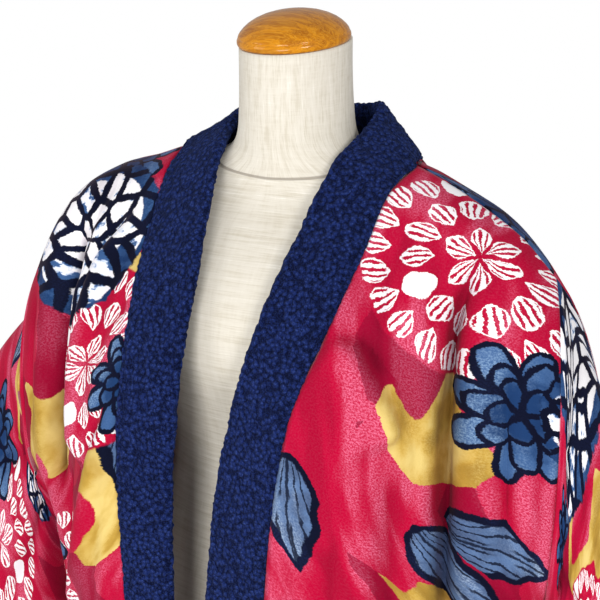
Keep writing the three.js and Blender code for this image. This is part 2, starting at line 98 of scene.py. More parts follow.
# Ten levels down every line: shoulder ridge, collarbone, upper chest, chest, bust, waist,
# underarm, hip, thigh and hem. LEVEL_STEPS are the rows from each to the next. half is the
# distance from the middle, drift moves both sides to the left, and rise is how much higher the
# right side stands.
LEVEL_STEPS = (8, 9, 11, 17, 16, 20, 20, 30, 32)
LINE = "half drift y z rise"
FRONT_LINES = [
    table(LINE, (127, -3, 4, 1318), (119, 0, -42, 1300), (114, 3, -85, 1255),
          (106, 2, -124, 1202), (91, -7, -158, 1118), (84, -12, -168, 1036), (76, -12, -172, 932),
          (71, -13, -176, 820), (69, -15, -179, 670), (68, -17, -181, 510)),
    table(LINE, (153, -1, 2, 1307, 2), (152, 0, -38, 1292, 4),
          (147, 0, -80, 1245, 2), (141, 0, -115, 1190), (134, -3, -148, 1115), (131, -5, -158, 1035),
          (129, -5, -162, 928), (126, -6, -166, 820), (125, -7, -169, 670), (125, -8, -172, 510)),
    table(LINE, (195, 0, 0, 1285, 12), (200, 0, -37, 1272, 13),
          (205, 0, -62, 1237, 11), (208, 0, -76, 1186, 6), (211, 0, -84, 1115), (212, 0, -88, 1032),
          (212, 0, -90, 924), (206, 0, -94, 820), (201, 0, -98, 670), (198, 0, -101, 510)),
    table(LINE, (230, 0, 0, 1262, 15), (241, 0, -30, 1246, 15),
          (249, 0, -56, 1212, 13), (254, 0, -70, 1165, 8), (257, 0, -78, 1098, 3), (257, 0, -78, 1014),
          (250, 0, -66, 920), (238, 0, -58, 820), (231, 0, -57, 670), (228, 0, -58, 510)),
    table(LINE, (262, 0, 0, 1230, 11), (275, 0, -24, 1204, 10),
          (285, 0, -44, 1166, 10), (291, 0, -56, 1120, 6), (292, 0, -61, 1052, 2), (285, 0, -55, 975),
          (260, 0, 0, 905), (248, 0, 0, 820), (243, 0, 0, 670), (240, 0, 0, 510)),
]
BACK_LINES = [
    table(LINE, (0, 0, 101, 1306), (0, 0, 109, 1280), (0, 0, 115, 1240),
          (0, 0, 118, 1190), (0, 0, 117, 1115), (0, 0, 116, 1035), (0, 0, 119, 928),
          (0, 0, 127, 820), (0, 0, 135, 670), (0, 0, 141, 510)),
    table(LINE, (60, -1, 92, 1310), (63, 0, 102, 1284), (66, 0, 110, 1242),
          (68, 0, 114, 1190), (68, 0, 114, 1115), (68, 0, 113, 1035), (68, 0, 116, 928),
          (66, 0, 123, 820), (64, 0, 131, 670), (63, 0, 137, 510)),
    table(LINE, (104, -2, 56, 1316), (101, 0, 77, 1294), (97, 0, 98, 1248),
          (95, 0, 107, 1191), (95, 0, 109, 1115), (95, 0, 108, 1035), (95, 0, 111, 928),
          (92, 0, 119, 820), (90, 0, 127, 670), (88, 0, 133, 510)),
    table(LINE, (127, -3, 4, 1318), (124, 0, 48, 1304), (120, 0, 84, 1253),
          (118, 0, 99, 1192), (118, 0, 104, 1115), (118, 0, 104, 1035), (118, 0, 107, 927),
          (114, 0, 113, 820), (112, 0, 121, 670), (110, 0, 127, 510)),
    table(LINE, (153, -1, 2, 1307, 2), (153, 0, 44, 1293, 4),
          (152, 0, 77, 1248, 2), (152, 0, 91, 1190), (152, 0, 97, 1115), (152, 0, 98, 1034),
          (152, 0, 100, 926), (148, 0, 106, 820), (146, 0, 114, 670), (144, 0, 120, 510)),
    table(LINE, (195, 0, 0, 1285, 12), (201, 0, 37, 1272, 13),
          (207, 0, 62, 1239, 11), (210, 0, 76, 1186, 6), (212, 0, 84, 1115), (212, 0, 86, 1032),
          (210, 0, 88, 924), (203, 0, 93, 820), (198, 0, 99, 670), (195, 0, 103, 510)),
    table(LINE, (230, 0, 0, 1262, 15), (240, 0, 22, 1244, 14),
          (247, 0, 43, 1210, 10), (251, 0, 57, 1163, 6), (255, 0, 68, 1097, 3), (256, 0, 72, 1014),
          (249, 0, 63, 918), (237, 0, 59, 820), (230, 0, 61, 670), (227, 0, 63, 510)),
    table(LINE, (262, 0, 0, 1230, 11), (273, 0, 17, 1203, 9),
          (282, 0, 31, 1165, 7), (288, 0, 43, 1119, 5), (291, 0, 55, 1052, 2), (284, 0, 53, 975),
          (260, 0, 0, 905), (248, 0, 0, 820), (243, 0, 0, 670), (240, 0, 0, 510)),
]

# The collar's free edge: three points round the nape, then one for each level of the front.
FREE_EDGE = table(LINE, (0, 0, 76, 1359), (38, 0, 69, 1361), (65, 1, 42, 1366),
                  (70, 3, 4, 1350), (61, 5, -46, 1323), (51, 6, -87, 1273), (40, 5, -125, 1215),
                  (31, -5, -149, 1136), (25, -16, -158, 1040), (19, -19, -164, 934),
                  (16, -18, -168, 820), (15, -18, -171, 670), (14, -18, -173, 510))

# The band's section: share of its width from the sewn edge, plus a distance, and the lift.
BAND_SECTION = table("share more lift", (0, 0.3, 0), (0, 2.2, 3.2), (0, 9, 7.2), (0.33, 0, 9.0),
                     (0.63, 0, 8.8), (1, -8, 7.6), (1, -1.4, 4.4), (1, 1.4, 0.6), (1, -1.6, -2.9),
                     (1, -9, -3.7), (0.5, 0, -3.8), (0, 9, -2.8), (0, 3, -1.2))

# Folds. a is across and d is down: X and height on the body; along and down on a sleeve.
# roll draws the cloth beside a trough over it, from the side that its sign gives.
FOLD = "a0 d0 a1 d1 bow lift wide roll"
FOLDS_LEFT_FRONT = table(
    FOLD, (206, 1262, 212, 905, 0, -25, 12, 15), (229, 1246, 235, 890, 0, 11, 14, 0),
    (184, 1236, 192, 905, 0, 6, 13, 0), (110, 1197, 175, 1101, 15, -12, 11, -5),
    (101, 1190, 165, 1094, 15, 13, 7, 0), (92, 1184, 156, 1088, 15, 9, 20, 0),
    (156, 1270, 180, 1110, 4, 6, 13, 0),
    (134, 1262, 150, 1150, 2, -5, 12, 0), (170, 1086, 168, 905, 3, -8, 13, 4),
    (112, 900, 106, 510, 0, -8, 17, 0), (160, 900, 168, 510, 0, 9, 20, 0),
    (190, 880, 200, 510, 0, -12, 14, 6), (222, 860, 226, 510, 0, 8, 15, 0),
    (124, 1150, 178, 1078, 13, 3.4, 7, 0), (110, 1168, 150, 1128, 9, 2.4, 6, 0),
    (176, 1120, 184, 1020, 3, -4, 6, 3), (150, 1060, 146, 900, 2, 5, 12, 0),
    (192, 1150, 196, 1010, 2, -3.4, 5, 2), (156, 1240, 166, 1150, -3, 1.6, 8, 0),
    (182, 1200, 186, 1120, 0, -2.2, 6, 0), (128, 1030, 120, 860, 2, -6, 11, 3),
    (104, 1040, 98, 900, -3, 3.4, 9, 0), (250, 1170, 256, 1010, 0, -5, 8, 4),
    (264, 1150, 270, 1000, 3, 4, 8, 0), (232, 1040, 238, 900, 2, -4.6, 7, 2),
    (258, 1080, 250, 950, -4, -3.6, 6, 0), (222, 1255, 246, 1200, 4, -2.8, 6, 0),
    (180, 980, 190, 860, 2, 4, 8, 0))
FOLDS_RIGHT_FRONT = table(
    FOLD, (-206, 1264, -244, 950, -2, -23, 12, -13), (-230, 1246, -262, 940, 0, 9, 14, 0),
    (-126, 1274, -150, 1010, -24, 10, 10, 0), (-143, 1268, -168, 1010, -24, -14, 10, 12),
    (-100, 1108, -186, 846, 8, 9, 11, 0), (-116, 1102, -204, 850, 8, -14, 10, 11),
    (-178, 1230, -206, 1010, -6, 5, 12, 0), (-100, 1200, -132, 1120, -10, -5, 15, 0),
    (-128, 900, -118, 510, 0, -9, 17, 0), (-166, 840, -172, 510, 0, 7, 18, 0),
    (-200, 830, -204, 510, 0, -12, 14, -6),
    (-118, 1180, -128, 1080, -4, 2.6, 7, 0), (-190, 1200, -206, 1080, -4, 3, 6, 0),
    (-236, 1200, -246, 1050, -2, -4.4, 7, -3), (-264, 1180, -272, 1020, -2, -3.4, 6, -2),
    (-140, 1060, -160, 960, -8, -3.6, 7, -2), (-104, 1040, -112, 900, -3, 3, 8, 0),
    (-238, 1060, -244, 930, 0, 3, 7, 0), (-206, 1010, -224, 880, -5, -5, 8, -3),
    (-170, 1290, -196, 1220, -6, -3, 7, 0), (-140, 940, -148, 840, -2, 3, 7, 0),
    (-254, 1120, -250, 1000, 3, -3, 5, 0))
FOLDS_BACK = table(
    FOLD, (206, 1250, 214, 900, 0, -17, 13, 12), (-206, 1250, -214, 900, 0, -17, 13, -12),
    (228, 1240, 236, 890, 0, 8, 14, 0), (-228, 1240, -236, 890, 0, 8, 14, 0),
    (60, 1230, 76, 900, 8, -6, 17, 0), (-70, 1215, -86, 880, -8, -7, 16, 0),
    (4, 1180, -6, 520, 0, -7, 21, 0), (110, 960, 124, 510, 0, -12, 18, 7),
    (-112, 940, -128, 510, 0, -11, 18, -7), (168, 900, 176, 510, 0, 8, 18, 0),
    (-170, 900, -180, 510, 0, 8, 18, 0), (52, 760, 60, 510, 0, 6, 20, 0),
    (-56, 760, -62, 510, 0, 6, 20, 0),
    (150, 1240, 172, 1120, 6, -3, 8, 0), (-152, 1236, -176, 1110, -6, -3.2, 8, 0),
    (236, 1200, 244, 1020, 0, -3.6, 7, 2), (-238, 1196, -246, 1030, 0, -3.4, 7, -2),
    (30, 1270, 60, 1200, 5, -2.4, 8, 0), (-34, 1266, -58, 1190, -5, -2.2, 8, 0),
    (180, 1120, 190, 960, 3, 3, 9, 0), (-178, 1110, -186, 950, -3, 3.2, 9, 0),
    (90, 1160, 40, 1060, -6, -2.6, 10, 0), (-100, 1150, -40, 1040, 6, -2.4, 10, 0),
    (150, 820, 140, 640, 3, -3, 9, 0), (-146, 800, -150, 620, -3, -3.2, 9, 0),
    (24, 700, 28, 520, 0, -3, 9, 0), (-90, 700, -88, 520, 2, 3, 9, 0))

# The top and the bottom edge of each sleeve, from the armhole to the cuff.
SLEEVES = {
    "sleeve_left": {
        "side": LEFT,
        "top": table("x y z", (262, 0, 1230), (294, 1, 1150), (343, 4, 1050), (444, 8, 893)),
        "bottom": table("x y z", (260, 0, 905), (286, 2, 884), (300, 6, 762), (352, 12, 604)),
        "front": table(FOLD, (62, 246, 250, 130, -10, -9, 16, -4), (70, 284, 330, 220, -8, -8, 15, 0),
                       (40, 190, 200, 60, 6, 5, 20, 0), (40, 270, 150, 200, -6, -4, 7, 0),
                       (120, 250, 260, 190, -5, 3.4, 8, 0), (30, 120, 130, 70, 4, -3, 8, 0),
                       (180, 120, 330, 70, 5, -4, 9, 0), (220, 210, 370, 160, -4, -3, 8, 0),
                       (60, 214, 170, 150, -6, 3, 7, 0)),
        "back": table(FOLD, (64, 248, 246, 136, -8, -8, 16, -4), (70, 282, 330, 212, -8, -8, 15, 0),
                      (60, 170, 220, 50, 6, 5, 20, 0), (40, 266, 150, 204, -6, -4, 7, 0),
                      (130, 246, 270, 186, -5, 3.4, 8, 0), (190, 116, 340, 66, 5, -4, 9, 0)),
    },
    "sleeve_right": {
        "side": RIGHT,
        "top": table("x y z", (-262, 0, 1241), (-295, -6, 1157), (-356, -8, 1088), (-480, 0, 936)),
        "bottom": table("x y z", (-260, 0, 905), (-284, 0, 884), (-302, 4, 772), (-372, 10, 640)),
        "front": table(FOLD, (60, 232, 280, 104, -12, -10, 16, -5), (70, 280, 330, 200, -8, -8, 16, 0),
                       (48, 168, 204, 40, 8, 6, 20, 0), (36, 256, 150, 186, -7, -5, 7, -2),
                       (110, 236, 250, 176, -5, 3.6, 8, 0), (36, 120, 140, 60, 4, -3.4, 8, 0),
                       (180, 110, 330, 60, 5, -4, 9, 0), (220, 200, 370, 150, -4, -3, 8, 0),
                       (60, 200, 180, 134, -6, 3.4, 7, 0), (30, 60, 150, 26, 3, -2.6, 8, 0)),
        "back": table(FOLD, (62, 246, 250, 122, -8, -8, 16, -4), (70, 284, 320, 224, -6, -7, 15, 0),
                      (70, 152, 236, 48, 6, 5, 20, 0), (40, 262, 150, 200, -6, -4, 7, 0),
                      (130, 240, 270, 180, -5, 3.4, 8, 0), (190, 112, 340, 60, 5, -4, 9, 0)),
    },
}

# Level sections of the form: half width, depth before and behind the axis, squareness and lean.
FORM_SECTIONS = table(
    "z half front back square lean", (FORM_BOTTOM, 158, 92, 104, 2.3, 0), (720, 166, 98, 109, 2.3, 0),
    (790, 173, 106, 113, 2.3, 0), (870, 172, 108, 108, 2.2, 0), (950, 148, 100, 92, 2.2, 0),
    (1030, 130, 96, 82, 2.1, 0), (1090, 138, 106, 88, 2.1, 0), (1140, 148, 122, 94, 2.1, 0),
    (1180, 155, 121, 98, 2.1, 0), (1215, 164, 107, 99, 2.2, 0), (1242, 176, 89, 95, 2.2, 0),
    (1262, 185, 73, 87, 2.1, 0), (1277, 188, 62, 79, 1.9, 0), (1291.2, 179, 55, 72, 1.7, 0),
    (1303.2, 148, 53, 66, 1.6, 0), (1310.5, 117, 52.5, 63, 1.65, 0), (1316.5, 94, 52, 61, 1.7, 0),
    (1322.5, 77, 52.5, 60, 1.8, 1), (1331, 63, 53.5, 58, 1.9, 2), (1343, 56, 55, 55.5, 2, 3),
    (1366, 53.5, 56, 52, 2, 5), (1398, 52.5, 57, 48.5, 2, 7), (1424, 52.5, 57.5, 47.5, 2, 9))


# ------------------------------------------------------------------ curves and sheets
def smooth(t):
    t = min(max(t, 0), 1)
    return t * t * (3 - 2 * t)


def curve_through(points):
    """A smooth curve through points, read by its place in the list of points."""
    ends = [points[0] * 2 - points[1], *points, points[-1] * 2 - points[-2]]
    gaps = [max((b - a).length, 1e-8) ** 0.5 for a, b in zip(ends, ends[1:])]

    def at(place):
        place = min(max(place, 0), len(points) - 1)
        i = min(int(place), len(points) - 2)
        w = place - i
        p0, p1, p2, p3 = ends[i:i + 4]
        d0, d1, d2 = gaps[i:i + 3]
        leave = ((p1 - p0) / d0 - (p2 - p0) / (d0 + d1)) * d1 + (p2 - p1)
        reach = (p2 - p1) + ((p3 - p2) / d2 - (p3 - p1) / (d1 + d2)) * d1
        cube = (p1 - p2) * 2 + leave + reach
        square = (p2 - p1) * 3 - leave * 2 - reach
        return p1 + (leave + (square + cube * w) * w) * w
    return at


def on_side(side, row):
    """A table row's point on the wearer's left or right."""
    rise = row.get("rise", 0) if side == RIGHT else 0
    return Vector((side * row["half"] + row["drift"], row["y"], row["z"] + rise))


def line_down(lines, index, side):
    """A line down a panel. The seam line turns at the underarm, so it is two curves."""
    places = [on_side(side, row) for row in lines[index]]
    if index + 1 < len(lines):
        return curve_through(places)
    armhole = curve_through(places[:UNDERARM_LEVEL + 1])
    side_seam = curve_through(places[UNDERARM_LEVEL:])
    return lambda at: armhole(at) if at <= UNDERARM_LEVEL else side_seam(at - UNDERARM_LEVEL)


def spread(steps):
    """Places along a line, with that many steps from each point to the next."""
    places = [0.0]
    for i, count in enumerate(steps):
        places += [i + step / count for step in range(1, count + 1)]
    return places


ROW_LEVELS = spread(LEVEL_STEPS)
ARMHOLE_ROWS = sum(LEVEL_STEPS[:UNDERARM_LEVEL])


def across_steps(lines):
    """Vertices from each line to the next, by their distance at the bust."""
    gaps = [(on_side(LEFT, b[BUST_LEVEL]) - on_side(LEFT, a[BUST_LEVEL])).length
            for a, b in zip(lines, lines[1:])]
    return [max(2, round(gap / GRID)) for gap in gaps]


def panel_rows(lines, side):
    """A panel's points, row by row from the shoulder to the hem."""
    down = [line_down(lines, i, side) for i in range(len(lines))]
    places = spread(across_steps(lines))
    rows = []
    for level in ROW_LEVELS:
        across = curve_through([at(level) for at in down])
        rows.append([across(place) for place in places])
    return rows


def sheet_normals(rows, closed, turn):
    """The way out at each point. turn is 1 or -1, by the way that the rows run."""
    width = len(rows[0])
    count = width - 1 if closed else width  # a closed sheet ends on the column that it starts on
    normals = []
    for r, row in enumerate(rows):
        above, below = rows[max(r - 1, 0)], rows[min(r + 1, len(rows) - 1)]
        line = []
        for c in range(width):
            if closed:
                across = row[(c + 1) % count] - row[(c - 1) % count]
            else:
                across = row[min(c + 1, width - 1)] - row[max(c - 1, 0)]
            line.append(across.cross(below[c] - above[c]).normalized() * turn)
        normals.append(line)
    return normals


def fold_effect(a, d, fold):
    """How far one fold lifts the cloth, and how far it draws it across."""
    run_a, run_d = fold["a1"] - fold["a0"], fold["d1"] - fold["d0"]
    long2 = run_a ** 2 + run_d ** 2
    off_a, off_d = a - fold["a0"], d - fold["d0"]
    along = (off_a * run_a + off_d * run_d) / long2
    if not 0 < along < 1:
        return 0, 0
    roll, wide = fold["roll"], fold["wide"]
    away = off_a - run_a * along - fold["bow"] * math.sin(math.pi * along)
    reach = math.hypot(away, off_d - run_d * along)
    if reach > FOLD_REACH * wide:
        return 0, 0
    fade = smooth(along / FOLD_START) * smooth((1 - along) / FOLD_END)
    side = math.copysign(reach, away)
    lift = fold["lift"] * fade * math.exp(-((reach / wide) ** 2))
    drawn = 0
    if roll:
        drawn = -roll * fade * math.exp(-((side - math.copysign(wide, roll)) / wide) ** 2)
    return lift, drawn


def folded(rows, closed, turn, folds_at, ease):
    """Moves a sheet's points by its folds, and gives each point's lift. folds_at gives a point's
    a, d, folds and the way that a roll draws it."""
    normals = sheet_normals(rows, closed, turn)
    moved, lifts = [], []
    for r, row in enumerate(rows):
        line, lifted = [], []
        for c, point in enumerate(row):
            a, d, folds, sideways = folds_at(point, r, c)
            pairs = [fold_effect(a, d, fold) for fold in folds]
            lift = sum(pair[0] for pair in pairs) * ease(r, c)
            drawn = sum(pair[1] for pair in pairs) * ease(r, c)
            line.append(point + normals[r][c] * lift + sideways * drawn)
            lifted.append(lift)
        moved.append(line)
        lifts.append(lifted)
    return moved, lifts


def distances(points):
    """Distance along a row of points, from the first to each."""
    total, found = 0.0, [0.0]
    for a, b in zip(points, points[1:]):
        total += (b - a).length
        found.append(total)
    return found


def turned_in(rows, closed, turn, edges):
    """Rolls the cloth in beside its seams, and draws it back from them by the seam's gap."""
    normals = sheet_normals(rows, closed, turn)
    down = list(zip(*[distances([row[c] for row in rows]) for c in range(len(rows[0]))]))
    last = len(rows) - 1
    shaped = []
    for r, row in enumerate(rows):
        run, line = distances(row), []
        for c, point in enumerate(row):
            near = [math.inf]
            if "start" in edges:
                near.append(run[c])
            if "end" in edges:
                near.append(run[-1] - run[c])
            if "top" in edges:
                near.append(down[r][c])
            share = max(0, 1 - min(near) / SEAM_ROLL)
            up = down[last][c] - down[r][c]
            dip = SEAM_DIP * share ** 2
            if "hem" in edges:
                dip += STITCH_DEEP * math.exp(-((up - HEM_TURN) / STITCH_WIDE) ** 2)
            line.append(point - normals[r][c] * dip)
        shaped.append(line)
    for row in shaped:
        if "start" in edges:
            row[0] = row[0] + (row[1] - row[0]).normalized() * SEAM_PULL
        if "end" in edges:
            row[-1] = row[-1] + (row[-2] - row[-1]).normalized() * SEAM_PULL
    if "top" in edges:
        shaped[0] = [a + (b - a).normalized() * SEAM_PULL for a, b in zip(shaped[0], shaped[1])]
    return shaped


# ------------------------------------------------------------------ meshes
def grid_mesh(rows, uvs, turn, closed=False, lifts=None):
    """A sheet of quads with a vertex for each point, facing the way that turn gives."""
    tall, wide = len(rows) - 1, len(rows[0]) - 1
    bm = bmesh.new()
    lift = bm.verts.layers.float.new("lift") if lifts else None
    bmesh.ops.create_grid(bm, x_segments=wide, y_segments=tall, size=1)
    places = {}
    for vert in bm.verts:
        places[vert] = (round((vert.co.y + 1) * tall / 2), round((vert.co.x + 1) * wide / 2))
    layer = bm.loops.layers.uv.new("cloth")
    for face in bm.faces:
        for loop in face.loops:
            r, c = places[loop.vert]
            loop[layer].uv = uvs[r][c]
    for vert, (r, c) in places.items():
        vert.co = rows[r][c] * MM
        if lifts:
            vert[lift] = lifts[r][c] / FULL_LIFT
    wanted = sheet_normals(rows, closed, turn)[tall // 2][wide // 2]
    middle = next(v for v, place in places.items() if place == (tall // 2, wide // 2))
    bm.normal_update()
    if middle.normal.dot(wanted) < 0:
        bmesh.ops.reverse_faces(bm, faces=bm.faces)
    if closed:
        bmesh.ops.remove_doubles(bm, verts=bm.verts, dist=1e-6)
    return bm


def finished(name, bm, materials, node):
    """The mesh as a named piece that stands for a node and rides on the body."""
    for face in bm.faces:
        face.smooth = True
    mesh = bpy.data.meshes.new(name)
    bm.to_mesh(mesh)
    bm.free()
    piece = bpy.data.objects.new(name, mesh)
    bpy.context.scene.collection.objects.link(piece)
    for material in materials:
        mesh.materials.append(material)
    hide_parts(node)
    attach(piece, BODY)
    return piece


def add_wall(piece):
    wall = piece.modifiers.new("wall", "SOLIDIFY")
    wall.thickness = CLOTH * MM
    wall.offset = 0
    wall.use_rim = True
    wall.material_offset = 1
    wall.material_offset_rim = 0


# ------------------------------------------------------------------ finishes
def paint(code):
    """A linear colour from a hex code."""
    parts = [int(code[i:i + 2], 16) / 255 for i in (1, 3, 5)]
    return [p / 12.92 if p <= 0.04045 else ((p + 0.055) / 1.055) ** 2.4 for p in parts] + [1]


class Signal:
    """A socket of a material. Arithmetic on it adds Math nodes."""

    def __init__(self, finish, socket):
        self.finish = finish
        self.socket = socket

    def math(self, operation, *others):
        return self.finish.node("Math", {"operation": operation}, self, *others)

    def __add__(self, other):
        return self.math("ADD", other)

    def __sub__(self, other):
        return self.math("SUBTRACT", other)

    def __mul__(self, other):
        return self.math("MULTIPLY", other)

    def __truediv__(self, other):
        return self.math("DIVIDE", other)

    def __pow__(self, other):
        return self.math("POWER", other)

    def __abs__(self):
        return self.math("ABSOLUTE")

    def __rsub__(self, other):
        return self.finish.node("Math", {"operation": "SUBTRACT"}, other, self)

    __radd__ = __add__
    __rmul__ = __mul__

    def over(self, low, high):
        """0 below low and 1 above high, with a soft step between."""
        settings = {"interpolation_type": "SMOOTHSTEP"}
        return self.finish.node("MapRange", settings, self, low, high, 0.0, 1.0)


class Finish:
    """A material in the making, ending in one Principled shader."""

    def __init__(self, name, **constants):
        self.material = bpy.data.materials.new(name)
        self.material.use_nodes = True
        self.tree = self.material.node_tree
        self.tree.nodes.clear()
        output = self.tree.nodes.new("ShaderNodeOutputMaterial")
        self.shader = self.tree.nodes.new("ShaderNodeBsdfPrincipled")
        self.tree.links.new(self.shader.outputs[0], output.inputs["Surface"])
        for key, value in constants.items():
            socket = key.replace("_", " ").title().replace("Ior", "IOR")
            self.shader.inputs[socket].default_value = value

    def feed(self, socket, value):
        if isinstance(value, Signal):
            self.tree.links.new(value.socket, socket)
        elif value is not None:
            socket.default_value = value

    def node(self, kind, settings, *values, out=0, **named):
        made = self.tree.nodes.new("ShaderNode" + kind)
        for key, value in settings.items():
            setattr(made, key, value)
        for socket, value in zip(made.inputs, values):
            self.feed(socket, value)
        for key, value in named.items():
            self.feed(made.inputs[key], value)
        return Signal(self, made.outputs[out])

    def vector(self, operation, *values, out=0):
        return self.node("VectorMath", {"operation": operation}, *values, out=out)

    def scaled(self, vector, x, y, z=1.0):
        return self.vector("MULTIPLY", vector, (x, y, z))

    def parts(self, vector):
        made = self.node("SeparateXYZ", {}, vector)
        outputs = made.socket.node.outputs
        return [Signal(self, outputs[i]) for i in range(3)]

    def mixed(self, share, a, b, way="MIX"):
        """Colour a, turning into colour b as share goes from 0 to 1."""
        made = self.tree.nodes.new("ShaderNodeMix")
        made.data_type = "RGBA"
        made.blend_type = way
        for index, value in ((0, share), (6, a), (7, b)):
            self.feed(made.inputs[index], value)
        return Signal(self, made.outputs[2])

    def either(self, share, a, b):
        """Vector a where share is 0, and vector b where it is 1."""
        made = self.tree.nodes.new("ShaderNodeMix")
        made.data_type = "VECTOR"
        for index, value in ((0, share), (4, a), (5, b)):
            self.feed(made.inputs[index], value)
        return Signal(self, made.outputs[1])

    def noise(self, vector, scale, detail=2.0, rough=0.5, out=0, bend=0.0):
        """Cloudy noise. scale is patches a millimetre, and out=1 gives it as a vector."""
        return self.node("TexNoise", {}, out=out, Vector=vector, Scale=scale, Detail=detail,
                         Roughness=rough, Distortion=bend)

    def cells(self, vector, scale, out=0, settings=None, **values):
        """Distance into irregular cells, scale of them a millimetre. out=1 gives each a colour."""
        return self.node("TexVoronoi", settings or {}, out=out, Vector=vector, Scale=scale, **values)

    def moved(self, place, by, scale, detail, amount):
        """A place moved by noise that is read at another place, up to half the amount each way."""
        drift = self.vector("SUBTRACT", self.noise(by, scale, detail, out=1), (0.5, 0.5, 0.5))
        return self.vector("ADD", place, self.vector("MULTIPLY", drift, amount))

    def cloth_place(self):
        """The place on the flat cloth, in millimetres."""
        return self.vector("SCALE", self.node("UVMap", {"uv_map": "cloth"}), None, None, 1000.0)

    def object_place(self):
        """The place on the object, in millimetres."""
        return self.vector("SCALE", self.node("TexCoord", {}, out=3), None, None, 1000.0)

    def use(self, color=None, rough=None, bumps=()):
        """Links the colour and the roughness, and the bumps as (height, strength, distance)."""
        self.feed(self.shader.inputs["Base Color"], color)
        self.feed(self.shader.inputs["Roughness"], rough)
        normal = None
        for height, strength, distance in bumps:
            normal = self.node("Bump", {}, Strength=strength, Distance=distance * MM,
                               Height=height, Normal=normal)
        self.feed(self.shader.inputs["Normal"], normal)
        return self.material


CRIMSON, CRIMSON_DEEP, PINK = paint("#b00030"), paint("#7a0428"), paint("#e8799a")
GOLD, GOLD_DEEP, GOLD_LIT = paint("#bd9740"), paint("#9c7930"), paint("#dabf74")
NAVY, NAVY_DEEP = paint("#1c2750"), paint("#0a0e22")
BLUE, BLUE_LIGHT, BLUE_DEEP = paint("#3a5a88"), paint("#86a2c2"), paint("#1b3762")
LEAF_LIGHT = paint("#9fb2cc")
WHITE, WHITE_COOL = paint("#f7f3f4"), paint("#8fb0d8")

OUTLINE = 4.6  # millimetres of navy round a blue petal or leaf
LOBE = 58  # millimetres across a crimson petal of the ground
MUM_RINGS = 2.8  # rings of petals in the flower's radius
MUM_AROUND = 8.4  # petals that each ring adds
MUM_STRIPES = 4.4  # stripes across one petal and its gap
DAHLIA_CELLS = 3.3  # cells in the flower's radius
# Each ring's petals, reach and width as shares of the radius, and turn in petals.
LOTUS_RINGS = ((8, 1.0, 0.52, 0.0), (7, 0.76, 0.46, 0.4), (5, 0.5, 0.44, 0.15))


